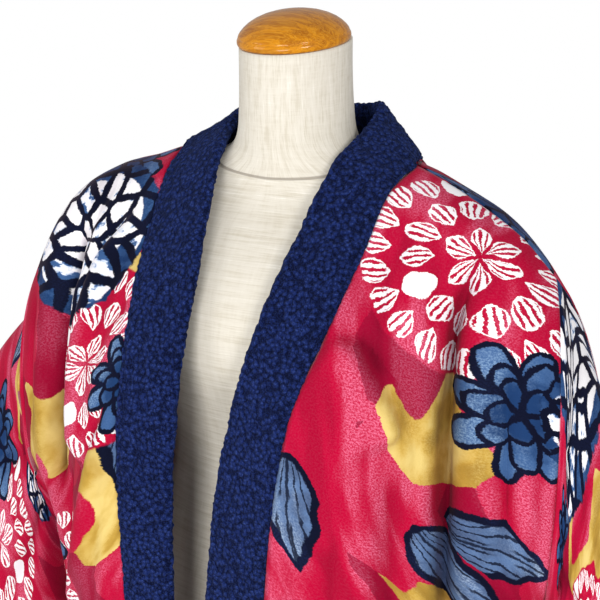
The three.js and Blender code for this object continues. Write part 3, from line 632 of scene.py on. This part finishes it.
class Print(Finish):
    """A plush with flowers printed on it. Each flower is drawn by formulas round its centre."""

    def brush(self, place):
        """How the nap lies: paler in random patches, streaks and speckle. The folds' lift adds painted
        light on top of this: a painted highlight, pale and grainy, on their ridges, and painted shade
        in their troughs."""
        lift = self.node("Attribute", {"attribute_name": "lift"}, out=2)
        patches = self.noise(self.scaled(place, 1.0, 0.36), 0.02, 2.0, 0.45, bend=0.3)
        streaks = self.noise(self.scaled(place, 1.0, 0.2), 0.06, 2.0)
        # Random nap patches and streaks, plus the folds' lift, which paints a highlight along their
        # ridges
        nap_and_ridge_light = patches * 0.7 + streaks * 0.3 + lift.math("MINIMUM", 0.8) * 0.09
        self.grain = self.noise(place, 0.62, 2.0, 0.8)
        self.stand = nap_and_ridge_light.over(0.47, 0.6)
        speckle = self.grain.over(0.4, 0.64)
        # Pale speckled nap at random, and the painted highlight on the ridges of the folds
        self.lit = speckle * 0.06 + self.stand * (0.08 + 0.58 * speckle)
        # Darker nap at random, and painted shade in the troughs of the folds from their lift
        self.low = (nap_and_ridge_light.over(0.47, 0.36) * 0.4 + lift.over(-0.15, -1.1) * 0.7).math("MINIMUM", 0.9)
        self.crimson = self.mixed(self.lit, CRIMSON, PINK)
        self.outline = self.mixed(self.lit * 0.35, NAVY_DEEP, NAVY)

    def nearest(self, place, centres):
        """The flower nearest each place: its distance in radii, the angle round it, its number
        and its radius."""
        best = None
        for count, (u, v, radius, degrees) in enumerate(centres):
            here = self.vector("SUBTRACT", place, (u, v, 0))
            far = self.vector("LENGTH", here, out=1) / radius
            angle = math.radians(degrees)
            if best is None:
                best, offset, number = far, here, far * 0.0
                turn, size = number + angle, number + radius
                continue
            nearer = far.math("LESS_THAN", best)
            offset = self.either(nearer, offset, here)
            turn = turn + nearer * (angle - turn)
            number = number + nearer * (count - number)
            size = size + nearer * (radius - size)
            best = best.math("MINIMUM", far)
        x, y, _ = self.parts(offset)
        return best, y.math("ARCTAN2", x) + turn, number, size

    def chance(self, number, seed):
        """An even random value from 0 to 1 for each whole number."""
        return self.node("TexWhiteNoise", {"noise_dimensions": "1D"}, W=number + seed * 1.37)

    def mum(self, color, place, centres):
        """Rings of separate white petals on crimson, most with thick broken crimson stripes."""
        far, angle, number, _ = self.nearest(place, centres)
        ring = (far * MUM_RINGS).math("FLOOR")
        count = ((ring + 0.7) * MUM_AROUND).math("ROUND")
        cell = angle * count / math.tau + self.chance(ring + number * 7, 3)
        own = cell.math("ROUND")
        name = own.math("FLOORED_MODULO", count) + ring * 31 + number * 211
        first, second = self.chance(name, 3), self.chance(name, 14)
        begin = first * 0.12 + 0.02
        along = (far * MUM_RINGS - ring - begin) / (0.97 - begin - second * 0.1)
        long = along.math("MAXIMUM", 0.0).math("MINIMUM", 1.0)
        across = cell - own + (first - 0.5) * 0.4 * (long - 0.5)
        width = (long * math.pi).math("SINE") ** (0.5 + 0.5 * second) * (0.4 + 0.08 * first)
        inside = width - abs(across)
        broken = self.noise(place, 0.13, 1.0)
        wave = (across * (MUM_STRIPES * math.tau) + second * 6).math("COSINE") - (broken - 0.5) * 2.2
        stripes = wave.over(0.02, 0.26) * second.over(0.07, 0.09) * inside.over(0.05, 0.08)
        tone = self.mixed(stripes * long.over(0.08, 0.14) * long.over(0.95, 0.86), WHITE, self.crimson)
        color = self.mixed(far.over(1.04, 1.01), color, self.crimson)
        return self.mixed(inside.over(0.0, 0.03) * far.over(1.0, 0.985), color, tone)

    def dahlia(self, color, place, centres):
        """Angular white petals with blue at their roots, parted by broad navy gaps."""
        far, angle, number, _ = self.nearest(place, centres)
        reach = far ** 0.8 * DAHLIA_CELLS
        spot = self.node("CombineXYZ", {}, reach * angle.math("COSINE") + number * 9,
                         reach * angle.math("SINE"), 0.0)
        plane = {"voronoi_dimensions": "2D"}
        edge = self.cells(spot, 1.0, 0, {**plane, "feature": "DISTANCE_TO_EDGE"}, Randomness=0.86)
        petal = self.cells(spot, 1.0, 1, plane, Randomness=0.86)
        first, second, _ = self.parts(petal)
        blot = self.noise(place, 0.1, 3.0)
        tint = (blot + (0.3 - edge) * 0.35 + second * 0.24).over(0.66, 0.84)
        tone = self.mixed(tint, WHITE, WHITE_COOL)
        tone = self.mixed(tint.over(0.5, 0.9), tone, BLUE)
        blue = self.mixed(self.lit + blot.over(0.45, 0.6) * 0.4, BLUE_DEEP, BLUE)
        tone = self.mixed((far + first * 0.3).over(0.98, 1.0), tone, blue)
        rim = (far + (blot - 0.5) * 0.16).over(1.03, 1.0)
        color = self.mixed(rim, color, self.outline)
        return self.mixed((edge - second * 0.04).over(0.11, 0.15) * rim, color, tone)

    def lotus(self, color, place, centres):
        """Rings of broad pointed blue petals with a thick navy outline, darker at the heart."""
        far, angle, _, size = self.nearest(place, centres)
        blot = self.noise(place, 0.09, 2.0)
        for count, outer, wide, shift in LOTUS_RINGS:
            cell = angle * (count / math.tau) + shift
            own = cell.math("ROUND")
            chance = self.chance(own.math("FLOORED_MODULO", float(count)), outer * 27)
            reach = outer - 0.2 * outer * chance
            along = (far / reach).math("MAXIMUM", 0.001).math("MINIMUM", 1.0)
            away = abs((cell - own) * (math.tau / count) * far * size)
            beside = far * size * (math.pi / count) + OUTLINE * 0.4
            room = along ** 0.75 * (1.0 - along).math("MAXIMUM", 0.0) ** 0.5 * (wide * size)
            room = room.math("MINIMUM", beside)
            inside = (room - away).math("MINIMUM", (reach - far) * size)
            heart = (1 - outer) * 0.8 + (0.6 - along) * 0.8 + (blot - 0.5) * 0.8 + chance * 0.2
            tone = self.mixed(heart.over(-0.1, 0.5), BLUE, BLUE_DEEP)
            tone = self.mixed(self.lit * 1.1 * heart.over(0.6, 0.0), tone, BLUE_LIGHT)
            color = self.mixed(inside.over(-1.0, 0.0), color, self.outline)
            color = self.mixed(inside.over(OUTLINE - 0.6, OUTLINE + 0.6), color, tone)
        return color

    def leaf(self, color, place, centres):
        """A broad blue leaf with a navy border, and veins that fan out from its stem."""
        far, angle, number, size = self.nearest(place, centres)
        x = far * angle.math("COSINE")
        y = far * angle.math("SINE")
        lobes = (x * 11).math("SINE") * 0.03
        room = (1 - x * x).math("MAXIMUM", 0.0001) ** 0.8 * (0.58 - 0.22 * x + lobes)
        inside = ((room - abs(y)) * 0.85).math("MINIMUM", 1 - abs(x)) * size
        color = self.mixed(inside.over(-0.5, 0.5), color, self.mixed(self.lit, NAVY_DEEP, NAVY))
        tone = self.mixed(self.noise(place, 0.06).over(0.35, 0.62), BLUE, BLUE_DEEP)
        tone = self.mixed(self.lit * 1.2 + 0.14, tone, LEAF_LIGHT)
        spread_out = y.math("ARCTAN2", x + 1.3)
        broken = self.noise(place, 0.16, 1.0)
        veins = (abs((spread_out * 6.5 + number * 0.3).math("FRACT") - 0.5) + (broken - 0.5) * 0.24)
        rib = abs(y).over(0.035, 0.015)
        marks = veins.over(0.14, 0.09) * far.over(0.16, 0.3)
        tone = self.mixed(marks.math("MAXIMUM", rib) * 0.9, tone, NAVY_DEEP)
        return self.mixed(inside.over(OUTLINE + 1.0, OUTLINE + 2.4), color, tone)

    def ground(self, place, fields):
        """Broad crimson petals that overlap, with gold showing in horned gaps between them."""
        stretched = self.scaled(place, 1.0, 0.6)
        shape = {"distance": "MINKOWSKI"}
        lobes = self.cells(stretched, 1 / LOBE, 0, shape, Exponent=1.3)
        first, _, _ = self.parts(self.cells(stretched, 1 / LOBE, 1, shape, Exponent=1.3))
        crimson = self.mixed(first.over(0.66, 0.68) * 0.6, self.crimson, CRIMSON_DEEP)
        far, _, _, _ = self.nearest(place, fields)
        gap = lobes - 0.46 - far * far * 0.14 - far.over(0.9, 1.4)
        cloudy = self.noise(self.scaled(place, 1.0, 0.5), 0.04, 3.0)
        gold = self.mixed(cloudy.over(0.34, 0.6), GOLD_LIT, GOLD)
        gold = self.mixed(cloudy.over(0.5, 0.72), gold, GOLD_DEEP)
        gold = self.mixed(self.lit * 0.5, gold, GOLD_LIT)
        return self.mixed(gap.over(0.0, 0.02), crimson, gold)

    def finish(self, motifs):
        """The whole print: the ground, then each kind of flower over it, then darker nap and painted
        shade in the fold troughs.
        """
        flat = self.cloth_place()
        self.brush(flat)
        place = self.moved(flat, flat, 0.07, 2.0, (6.0, 6.0, 0.0))
        place = self.moved(place, flat, 0.7, 1.0, (2.4, 2.4, 0.0))
        color = self.ground(place, motifs["gold"])
        for draw in (self.leaf, self.mum, self.lotus, self.dahlia):
            color = draw(color, place, motifs[draw.__name__])
        # Darker nap at random, and painted shade in the troughs of the folds
        deep = self.mixed(1.0, color, (0.5, 0.44, 0.5, 1), "MULTIPLY")
        color = self.mixed(self.low, color, deep)
        rough = 0.93 - self.stand * 0.1 - self.grain * 0.12
        return self.use(color, rough, [(self.grain, 0.35, 0.9), (self.stand, 0.3, 1.2)])


# Where the flowers lie on each panel's flat cloth: across, down, radius and turn in degrees.
MOTIFS = {
    "front_left": {
        "gold": ((192, 1076, 60, 0), (120, 896, 44, 0), (170, 760, 90, 0), (60, 820, 60, 0)),
        "leaf": ((240, 966, 52, 12), (50, 966, 50, 96), (184, 932, 52, 66), (150, 620, 60, 20)),
        "lotus": ((262, 1096, 68, 12), (90, 640, 70, 0)),
        "mum": ((210, 1220, 104, 40), (200, 740, 80, 20), (90, 540, 60, 0)),
        "dahlia": ((328, 1104, 54, 0), (230, 600, 60, 0)),
    },
    "front_right": {
        "gold": ((-262, 992, 62, 0), (-75, 930, 66, 0), (-160, 700, 90, 0), (-96, 1152, 30, 0)),
        "leaf": ((-48, 980, 40, 80), (-180, 640, 60, 40)),
        "lotus": ((-64, 1054, 52, 10), (-186, 1286, 66, 20), (-230, 860, 60, 0)),
        "mum": ((-122, 1068, 90, 0), (-150, 830, 84, 30)),
        "dahlia": ((-186, 1192, 86, 0), (-70, 560, 64, 0)),
    },
    "back": {
        "gold": ((0, 1180, 90, 0), (180, 1020, 80, 0), (-190, 900, 90, 0), (60, 680, 90, 0)),
        "leaf": ((70, 1080, 62, 30), (-90, 980, 60, 140), (170, 780, 64, 70), (-160, 620, 64, 20)),
        "lotus": ((-40, 840, 86, 0), (236, 1262, 76, 20), (130, 570, 76, 10)),
        "mum": ((-150, 1160, 96, 0), (90, 920, 92, 20), (-220, 720, 80, 0), (-30, 560, 70, 0)),
        "dahlia": ((-230, 1040, 70, 0), (40, 1240, 66, 0), (220, 880, 66, 0)),
    },
    "sleeve_left": {
        "gold": ((190, -100, 60, 0), (260, 60, 80, 0), (90, 200, 70, 0)),
        "leaf": ((250, -190, 56, 30), (150, 130, 60, 120)),
        "lotus": ((60, -200, 50, 0), (330, -220, 70, 10)),
        "mum": ((262, -162, 62, 0), (60, 90, 74, 0)),
        "dahlia": ((84, -50, 100, 0), (230, 220, 66, 0)),
    },
    "sleeve_right": {
        "gold": ((150, -120, 50, 0), (260, 90, 80, 0), (330, -260, 60, 0)),
        "leaf": ((150, -40, 56, 30), (150, 150, 60, 120)),
        "lotus": ((262, -110, 66, 0), (330, 60, 70, 10)),
        "mum": ((296, -196, 94, 0), (60, 90, 74, 0)),
        "dahlia": ((120, -220, 60, 0), (230, 240, 66, 0)),
    },
}


def plush_print(node):
    made = Print("plush_print_" + node, sheen_weight=0.1, sheen_roughness=0.35,
                 sheen_tint=(1.0, 0.7, 0.78, 1), specular_ior_level=0.06)
    return made.finish(MOTIFS[node])


def plush_reverse():
    """The unprinted side of the plush: a dusty red ground that the dye has half soaked."""
    made = Finish("plush_reverse", sheen_weight=0.35, sheen_roughness=0.5,
                  specular_ior_level=0.12)
    place = made.cloth_place()
    patches = made.noise(place, 0.02, 3.0)
    speckle = made.noise(place, 0.8, 2.0, 0.7)
    color = made.mixed(patches.over(0.3, 0.7), paint("#7d2236"), paint("#9c4a58"))
    color = made.mixed(speckle.over(0.35, 0.7) * 0.4, color, paint("#c58f96"))
    return made.use(color, 0.95 - speckle * 0.08, [(speckle, 0.4, 0.8)])


def boa_pile():
    """Curly navy pile: small tight nubs, with painted shade in the gaps between them."""
    made = Finish("boa_pile", sheen_weight=0.12, sheen_roughness=0.5,
                  sheen_tint=(0.3, 0.42, 1.0, 1), specular_ior_level=0.03)
    place = made.object_place()
    place = made.moved(place, place, 0.3, 2.0, (2.4, 2.4, 2.4))
    nubs = made.cells(place, 0.24)
    curls = made.cells(place, 0.9)
    fibre = made.noise(place, 1.7, 3.0, 0.7)
    tops = 1 - nubs.over(0.1, 0.8)
    wool = 1 - curls.over(0.1, 0.8)
    shade = tops * 0.45 + wool * 0.3 + fibre * 0.35
    # Painted shade in the gaps between nubs and curls, and a painted highlight on their tops, with
    # fibre noise mixed in
    color = made.mixed(shade.over(0.25, 0.6), paint("#060b24"), paint("#18265a"))
    color = made.mixed(shade.over(0.62, 0.95) * 0.8, color, paint("#3a5096"))
    bumps = [(fibre, 0.5, 0.6), (wool, 0.7, 1.0), (tops, 0.8, 2.0)]
    return made.use(color, 0.97 - fibre * 0.1, bumps)


def slub_linen():
    """Cream linen: threads run down the neck and across the chest, with slubs and a neck seam."""
    made = Finish("slub_linen", sheen_weight=0.12, sheen_roughness=0.5, specular_ior_level=0.2)
    place = made.object_place()
    _, y, z = made.parts(place)
    above = z - (NECK_SEAM_HEIGHT + NECK_SEAM_SLOPE * y)
    on_neck = above.over(-0.4, 0.4)
    flat = made.cloth_place()

    def threads(along, across):
        slubs = made.noise(made.scaled(flat, along, across), 0.22, 3.0, 0.65)
        fine = made.noise(made.scaled(flat, along, across), 0.8, 2.0, 0.6)
        return slubs * 0.55 + fine * 0.45
    weave = made.noise(flat, 1.3, 2.0, 0.6)
    down = threads(1.0, 0.07)
    over = threads(0.09, 1.0)
    thread = down * on_neck + over * (1 - on_neck)
    both = thread * 0.75 + (down * (1 - on_neck) + over * on_neck) * 0.25
    color = made.mixed(both.over(0.36, 0.56), paint("#c8bfad"), paint("#dad3c5"))
    color = made.mixed(both.over(0.55, 0.68), color, paint("#ebe5da"))
    line = 1 - abs(above).over(0.5, 1.5)
    color = made.mixed(line * 0.75, color, paint("#8f8578"))
    relief = both + weave * 0.3 - line * 1.4
    return made.use(color, 0.9 - weave * 0.06, [(relief, 0.6, 0.8)])


def varnished_wood():
    """Amber wood with level grain under a clear gloss."""
    made = Finish("varnished_wood", coat_weight=0.5, coat_roughness=0.05, coat_ior=1.4,
                  specular_ior_level=0.1)
    place = made.object_place()
    place = made.moved(place, place, 0.02, 2.0, (10.0, 10.0, 10.0))
    rings = made.noise(made.scaled(place, 0.08, 1.0, 1.0), 0.16, 3.0, 0.6, bend=0.4)
    pores = made.noise(made.scaled(place, 0.06, 1.0, 1.0), 1.3, 2.0, 0.6)
    lines = (rings * 60).math("SINE") * 0.5 + 0.5
    color = made.mixed(rings.over(0.36, 0.64), paint("#a86202"), paint("#cf8408"))
    color = made.mixed(lines ** 3 * 0.35, color, paint("#e8a936"))
    color = made.mixed(pores.over(0.54, 0.72) * 0.4, color, paint("#74420a"))
    return made.use(color, 0.32 + pores * 0.1, [(pores, 0.08, 0.3)])


def satin_metal():
    """Painted steel with fine scuffs and a little wear."""
    made = Finish("satin_metal", metallic=0.75, specular_ior_level=0.5)
    place = made.object_place()
    grain = made.noise(made.scaled(place, 1.0, 1.0, 0.05), 1.2, 3.0, 0.6)
    wear = made.noise(place, 0.03, 4.0, 0.6)
    color = made.mixed(wear.over(0.35, 0.7), paint("#85888c"), paint("#a9acb0"))
    return made.use(color, 0.32 + grain * 0.16 + wear * 0.08, [(grain, 0.1, 0.2)])


PRINTS = {node: plush_print(node) for node in MOTIFS}
REVERSE = plush_reverse()
PILE = boa_pile()
LINEN = slub_linen()
WOOD = varnished_wood()
METAL = satin_metal()


# ------------------------------------------------------------------ garment panels
def body_folds(folds):
    """On the body, folds are placed by X and height, and a roll draws the cloth along X."""
    return lambda point, r, c: (point.x, point.z, folds, Vector((1, 0, 0)))


def body_ease(rows):
    """Folds fade out before a seam."""
    width = len(rows[0]) - 1
    return lambda r, c: smooth(min(c, width - c, r) * GRID / BODY_FADE)


def body_uvs(rows, reference):
    """Flat places on a body panel: across from the reference column, and down from the ridge."""
    down = list(zip(*[distances([row[c] for row in rows]) for c in range(len(rows[0]))]))
    uvs = []
    for r, row in enumerate(rows):
        run = distances([Vector((p.x, p.y, 0)) for p in row])
        sign = 1 if row[-1].x > row[0].x else -1
        start = row[reference].x - sign * run[reference]
        uvs.append([((start + sign * run[c]) * MM, (rows[0][c].z - down[r][c]) * MM)
                    for c in range(len(row))])
    return uvs


def front_rows(side, folds):
    """A front's points, their lifts and their places on the flat cloth."""
    rows = panel_rows(FRONT_LINES, side)
    uvs = body_uvs(rows, len(rows[0]) - 1)
    return *folded(rows, False, -side, body_folds(folds), body_ease(rows)), uvs


def back_rows(front_left, front_right):
    """The same of the back, whose shoulder seams take the two fronts' own points."""
    left, right = panel_rows(BACK_LINES, LEFT), panel_rows(BACK_LINES, RIGHT)
    shoulder = len(front_left[0])
    left[0][-shoulder:] = front_left[0]
    right[0][-shoulder:] = front_right[0]
    rows = [[*reversed(b), *a[1:]] for a, b in zip(left, right)]
    uvs = body_uvs(rows, len(left[0]) - 1)
    return *folded(rows, False, 1, body_folds(FOLDS_BACK), body_ease(rows)), uvs


def armhole_ring(front, back, side):
    """The armhole's points: down the front's edge from the shoulder, and up the back's."""
    column = -1 if side == LEFT else 0
    down = [row[-1] for row in front[:ARMHOLE_ROWS + 1]]
    up = [row[column] for row in back[1:ARMHOLE_ROWS]]
    return [*down, *reversed(up)]


def sleeve_rows(spec, ring):
    """A sleeve starts as the armhole's own ring and becomes an oval that hangs to the cuff."""
    top_at, bottom_at = (curve_through([Vector([*p.values()]) for p in spec[edge]])
                         for edge in ("top", "bottom"))
    head, under = ring[0], ring[ARMHOLE_ROWS]
    drops = [(head.z - p.z) / (head.z - under.z) for p in ring]
    faces = [-1 if i <= ARMHOLE_ROWS else 1 for i in range(len(ring))]

    def oval(share):
        place = share * (len(spec["top"]) - 1)
        deep = SLEEVE_DEEP + (CUFF_DEEP - SLEEVE_DEEP) * share
        points = []
        for drop, face in zip(drops, faces):
            point = top_at(place).lerp(bottom_at(place), drop)
            point.y += face * deep * math.sqrt(max(0, 1 - (2 * drop - 1) ** 2))
            points.append(point)
        return points
    start = oval(0)
    rings = round(SLEEVE_LONG / GRID)
    rows = []
    for number in range(rings + 1):
        share = number / rings
        own = 1 - smooth(share / SEAM_FADE)
        row = [p + (ring[i] - start[i]) * own for i, p in enumerate(oval(share))]
        rows.append([*row, row[0].copy()])
    drops.append(drops[0])
    faces.append(-1)

    def folds_at(point, r, c):
        folds = spec["front"] if faces[c] < 0 else spec["back"]
        return SLEEVE_LONG * r / rings, SLEEVE_WIDE * drops[c], folds, Vector((0, 0, 0))
    rows, lifts = folded(rows, True, spec["side"], folds_at,
                         lambda r, c: smooth(r * GRID / SLEEVE_FADE))
    uvs = []
    for r, row in enumerate(rows):
        row[-1] = row[0].copy()
        run = distances(row)
        down = [-at if c <= ARMHOLE_ROWS else run[-1] - at for c, at in enumerate(run)]
        uvs.append([(SLEEVE_LONG * r / rings * MM, at * MM) for at in down])
    return rows, lifts, uvs


def make_cloth(node, sheet, turn, edges, rests_on, closed=False):
    """A printed panel with a wall, from its (points, lifts, places on the flat cloth)."""
    rows, lifts, uvs = sheet
    shaped = turned_in(rows, closed, turn, edges)
    bm = grid_mesh(shaped, uvs, turn, closed, lifts)
    piece = finished(node + "_cloth", bm, [PRINTS[node], REVERSE], node)
    add_wall(piece)


def make_garment():
    fronts = {LEFT: front_rows(LEFT, FOLDS_LEFT_FRONT), RIGHT: front_rows(RIGHT, FOLDS_RIGHT_FRONT)}
    back = back_rows(fronts[LEFT][0], fronts[RIGHT][0])
    edges = ("start", "end", "top", "hem")
    for node, side in (("front_left", LEFT), ("front_right", RIGHT)):
        make_cloth(node, fronts[side], -side, edges, ["form_torso"])
    make_cloth("back", back, 1, edges, ["form_torso"])
    for node, spec in SLEEVES.items():
        side = spec["side"]
        sheet = sleeve_rows(spec, armhole_ring(fronts[side][0], back[0], side))
        make_cloth(node, sheet, side, ("top", "hem"),
                   ["front_left_cloth" if side == LEFT else "front_right_cloth"], closed=True)


make_garment()


# ------------------------------------------------------------------ collar
def collar_stations():
    """Pairs of sewn and free edge points from the left hem round the nape to the right hem."""
    steps = [max(2, round(count * GRID / PILE_GRID)) for count in LEVEL_STEPS]
    levels = spread(steps)
    nape = spread(NAPE_STEPS)
    stations = {}
    for side in (LEFT, RIGHT):
        free_at = curve_through([on_side(side, row) for row in FREE_EDGE])
        ridge = curve_through([on_side(side, line[0]) for line in BACK_LINES])
        edge = line_down(FRONT_LINES, 0, side)
        round_nape = [(ridge(place), free_at(place)) for place in nape[:-1]]
        down = [(edge(level), free_at(NAPE_POINTS + level)) for level in levels]
        stations[side] = [*round_nape, *down]
    return [*reversed(stations[LEFT]), *stations[RIGHT][1:]]


def band_outline(points_round):
    """The band's closed section as smooth (share, more, lift) rows."""
    corners = [Vector((row["share"], row["more"], row["lift"])) for row in BAND_SECTION]
    count = len(corners)
    around = curve_through([*corners[-2:], *corners, *corners[:3]])
    return [around(2 + count * i / points_round) for i in range(points_round)]


def nub_height(point, scale):
    """Rounded nubs, scale of them a millimetre: 1 at the middle of each and 0 between them."""
    return 1 - min(noise.voronoi(point * scale)[0][0] / 0.7, 1) ** 2


def curl(point):
    """How far the pile stands out at a place: large and small nubs on a slightly uneven band."""
    uneven = noise.noise(point * 0.03)
    return 1.5 * nub_height(point, 0.2) + 0.6 * nub_height(point, 0.42) + 1.1 * uneven - 0.9


def make_collar():
    """The padded band as one closed tube of pile, with its two ends at the hem closed."""
    stations = collar_stations()
    section = band_outline(BAND_AROUND)
    rows, uvs, run_out = [], [], 0.0
    for i, (sewn, free) in enumerate(stations):
        before, after = stations[max(i - 1, 0)], stations[min(i + 1, len(stations) - 1)]
        run = (after[0] + after[1] - before[0] - before[1]).normalized()
        across = free - sewn
        width = across.length
        across.normalize()
        out = across.cross(run).normalized()
        row = [sewn + across * (s.x * width + s.y) + out * s.z for s in section]
        rows.append([*row, row[0].copy()])
        if i:
            run_out += (sewn + free - before[0] - before[1]).length / 2
        uvs.append([(run_out * MM, at * MM) for at in distances(rows[-1])])
    bm = grid_mesh(rows, uvs, 1, closed=True)
    for end in (rows[0], rows[-1]):
        edges = [e for e in bm.edges if e.is_boundary
                 and all(min((v.co - p * MM).length for p in end) < 1e-5 for v in e.verts)]
        bmesh.ops.contextual_create(bm, geom=edges)
    bmesh.ops.recalc_face_normals(bm, faces=bm.faces)
    bm.normal_update()
    for vert in bm.verts:
        vert.co += vert.normal * (curl(vert.co / MM) * MM)
    piece = finished("collar_pile", bm, [PILE], "collar")


make_collar()


# ------------------------------------------------------------------ dress form
def form_ring(row):
    """One section of the form: an oval, boxier the higher its square, on a leaning plane."""
    middle = (row["back"] - row["front"]) / 2
    tip = math.tan(math.radians(row["lean"]))
    ring = []
    for i in range(FORM_AROUND):
        angle = math.tau * i / FORM_AROUND
        c, s = math.cos(angle), math.sin(angle)
        power = 2 / row["square"]
        x = row["half"] * math.copysign(abs(c) ** power, c)
        y = math.copysign(abs(s) ** power, s) * (row["front"] if s < 0 else row["back"])
        ring.append(Vector((x, y, row["z"] + (y - middle) * tip)))
    return ring


def make_torso():
    """The linen body, a smooth skin through its sections with both ends closed."""
    rings = [form_ring(row) for row in FORM_SECTIONS]
    columns = [curve_through([ring[i] for ring in rings]) for i in range(FORM_AROUND)]
    rows = [[at(place) for at in columns] for place in spread([FORM_STEPS] * (len(rings) - 1))]
    for share in CLOSING_SHARES:
        rows.insert(0, [p.lerp(FORM_FOOT, 1 - share) for p in rings[0]])
        rows.append([p.lerp(NECK_TOP, 1 - share) for p in rings[-1]])
    rows = [[*row, row[0].copy()] for row in rows]
    height = distances([row[FORM_AROUND // 4] for row in rows])
    uvs = [[(c / FORM_AROUND * LINEN_ROUND, height[r] * MM) for c in range(len(row))]
           for r, row in enumerate(rows)]
    bm = grid_mesh(rows, uvs, 1, closed=True)
    bmesh.ops.remove_doubles(bm, verts=bm.verts, dist=2e-5)
    bmesh.ops.recalc_face_normals(bm, faces=bm.faces)
    finished("form_torso", bm, [LINEN], "form_body")


def spun(name, profile, material, node, around=96, place=None):
    """A solid turned round the Z axis from a profile of radius and height."""
    bm = bmesh.new()
    verts = [bm.verts.new((r * MM, 0, z * MM)) for r, z in profile]
    edges = [bm.edges.new(pair) for pair in zip(verts, verts[1:])]
    bmesh.ops.spin(bm, geom=[*verts, *edges], cent=(0, 0, 0), axis=(0, 0, 1), angle=math.tau,
                   steps=around, use_merge=True)
    bmesh.ops.remove_doubles(bm, verts=bm.verts, dist=1e-6)
    bmesh.ops.recalc_face_normals(bm, faces=bm.faces)
    if place is not None:
        bmesh.ops.transform(bm, matrix=place, verts=bm.verts)
    return finished(name, bm, [material], node)


CAP_PROFILE = ((0, 0), (30, 0), (50, 0), (51.6, 0.5), (52.6, 1.7), (53, 3.4), (52.9, 5.2), (52.2, 6.8),
               (51.7, 7.5), (51.5, 7.9), (51.7, 8.3), (51.2, 9.6), (49.6, 12.0), (46.6, 15.2),
               (42, 18.9), (36, 22.3), (29, 25.1), (21, 27.2), (12, 28.6), (5, 29.1), (0, 29.2))
BASE_PROFILE = ((0, 0), (150, 0), (162, 0), (164, 0.8), (165, 2.6), (165, 6), (163.6, 8),
                (160, 9.2), (120, 10.6), (60, 12.2), (34, 13.2), (28, 13.8), (24, BASE_HIGH),
                (0, BASE_HIGH))
POLE_LOW, POLE_HIGH = BASE_HIGH + FIT_GAP, FORM_BOTTOM - FIT_GAP
POLE_PROFILE = ((0, POLE_LOW), (POLE_RADIUS - 0.6, POLE_LOW), (POLE_RADIUS, POLE_LOW + 0.6),
                (POLE_RADIUS, 300), (POLE_RADIUS, POLE_HIGH - 0.6), (POLE_RADIUS - 0.6, POLE_HIGH),
                (0, POLE_HIGH))


def make_stand():
    lift = Vector((0, 0, FIT_GAP))
    seat = Matrix.Translation((NECK_TOP + lift) * MM) @ Matrix.Rotation(CAP_LEAN, 4, "X")
    spun("form_cap_wood", CAP_PROFILE, WOOD, "form_cap", 128, seat)
    spun("form_pole_tube", POLE_PROFILE, METAL, "form_pole")
    spun("form_base_disc", BASE_PROFILE, METAL, "form_base")


make_torso()
make_stand()


# ------------------------------------------------------------------ stage
def make_stage():
    bm = bmesh.new()
    bmesh.ops.create_circle(bm, cap_ends=True, segments=96, radius=FLOOR_RADIUS)
    mesh = bpy.data.meshes.new("floor")
    bm.to_mesh(mesh)
    bm.free()
    floor = bpy.data.objects.new("floor", mesh)
    bpy.context.scene.collection.objects.link(floor)
    made = Finish("floor_paint", specular_ior_level=0.1)
    mottle = made.noise(made.object_place(), 0.01, 2.0)
    mesh.materials.append(made.use(made.mixed(mottle, paint("#e9e8e6"), paint("#f1f0ee")), 0.8))


SKY_STRENGTH = 0.5
# Soft boxes: name, place, aim, size in metres and power in watts.
LIGHTS = (("key", (2.3, -1.9, 2.2), (0, 0, 1.15), (0.8, 0.8), 45),
          ("fill", (-2.0, -2.0, 1.9), (0, 0, 1.1), (1.2, 1.6), 18),
          ("low", (0.3, -2.4, 0.7), (0, 0, 1.0), (1.0, 0.8), 33))


def make_light(name, place, aim, size, energy):
    lamp = bpy.data.lights.new(name, "AREA")
    lamp.shape = "RECTANGLE"
    lamp.size, lamp.size_y = size
    lamp.energy = energy
    light = bpy.data.objects.new(name, lamp)
    bpy.context.scene.collection.objects.link(light)
    light.location = place
    light.rotation_euler = (Vector(aim) - Vector(place)).to_track_quat("-Z", "Y").to_euler()


def make_world():
    """Soft light from all round. The camera sees plain white in its place."""
    world = bpy.data.worlds.new("studio")
    world.use_nodes = True
    tree = world.node_tree
    background = tree.nodes["Background"]
    seen = tree.nodes.new("ShaderNodeBackground")
    seen.inputs["Color"].default_value = (1, 1, 1, 1)
    seen.inputs["Strength"].default_value = 1.0
    background.inputs["Color"].default_value = (0.95, 0.97, 1.0, 1)
    background.inputs["Strength"].default_value = SKY_STRENGTH
    rays = tree.nodes.new("ShaderNodeLightPath")
    mix = tree.nodes.new("ShaderNodeMixShader")
    tree.links.new(rays.outputs["Is Camera Ray"], mix.inputs[0])
    tree.links.new(background.outputs[0], mix.inputs[1])
    tree.links.new(seen.outputs[0], mix.inputs[2])
    tree.links.new(mix.outputs[0], tree.nodes["World Output"].inputs["Surface"])
    bpy.context.scene.world = world


CAMERA_AZIMUTH, CAMERA_HEIGHT = math.radians(30), math.radians(14)
CAMERA_FAR = 1.5  # metres
CAMERA_AIM = Vector((0, 0, 1.178))
CAMERA_LENS, CAMERA_SENSOR = 93.6, 36
CAMERA_SHIFT = 0.005


def make_camera():
    data = bpy.data.cameras.new("camera")
    data.lens = CAMERA_LENS
    data.sensor_width = CAMERA_SENSOR
    data.shift_x = CAMERA_SHIFT
    camera = bpy.data.objects.new("camera", data)
    bpy.context.scene.collection.objects.link(camera)
    back = Vector((math.sin(CAMERA_AZIMUTH) * math.cos(CAMERA_HEIGHT),
                   -math.cos(CAMERA_AZIMUTH) * math.cos(CAMERA_HEIGHT), math.sin(CAMERA_HEIGHT)))
    camera.location = CAMERA_AIM + back * CAMERA_FAR
    camera.rotation_euler = (-back).to_track_quat("-Z", "Y").to_euler()
    bpy.context.scene.camera = camera


make_stage()
make_world()
for light_values in LIGHTS:
    make_light(*light_values)
make_camera()
bpy.context.scene.view_settings.view_transform = "Standard"
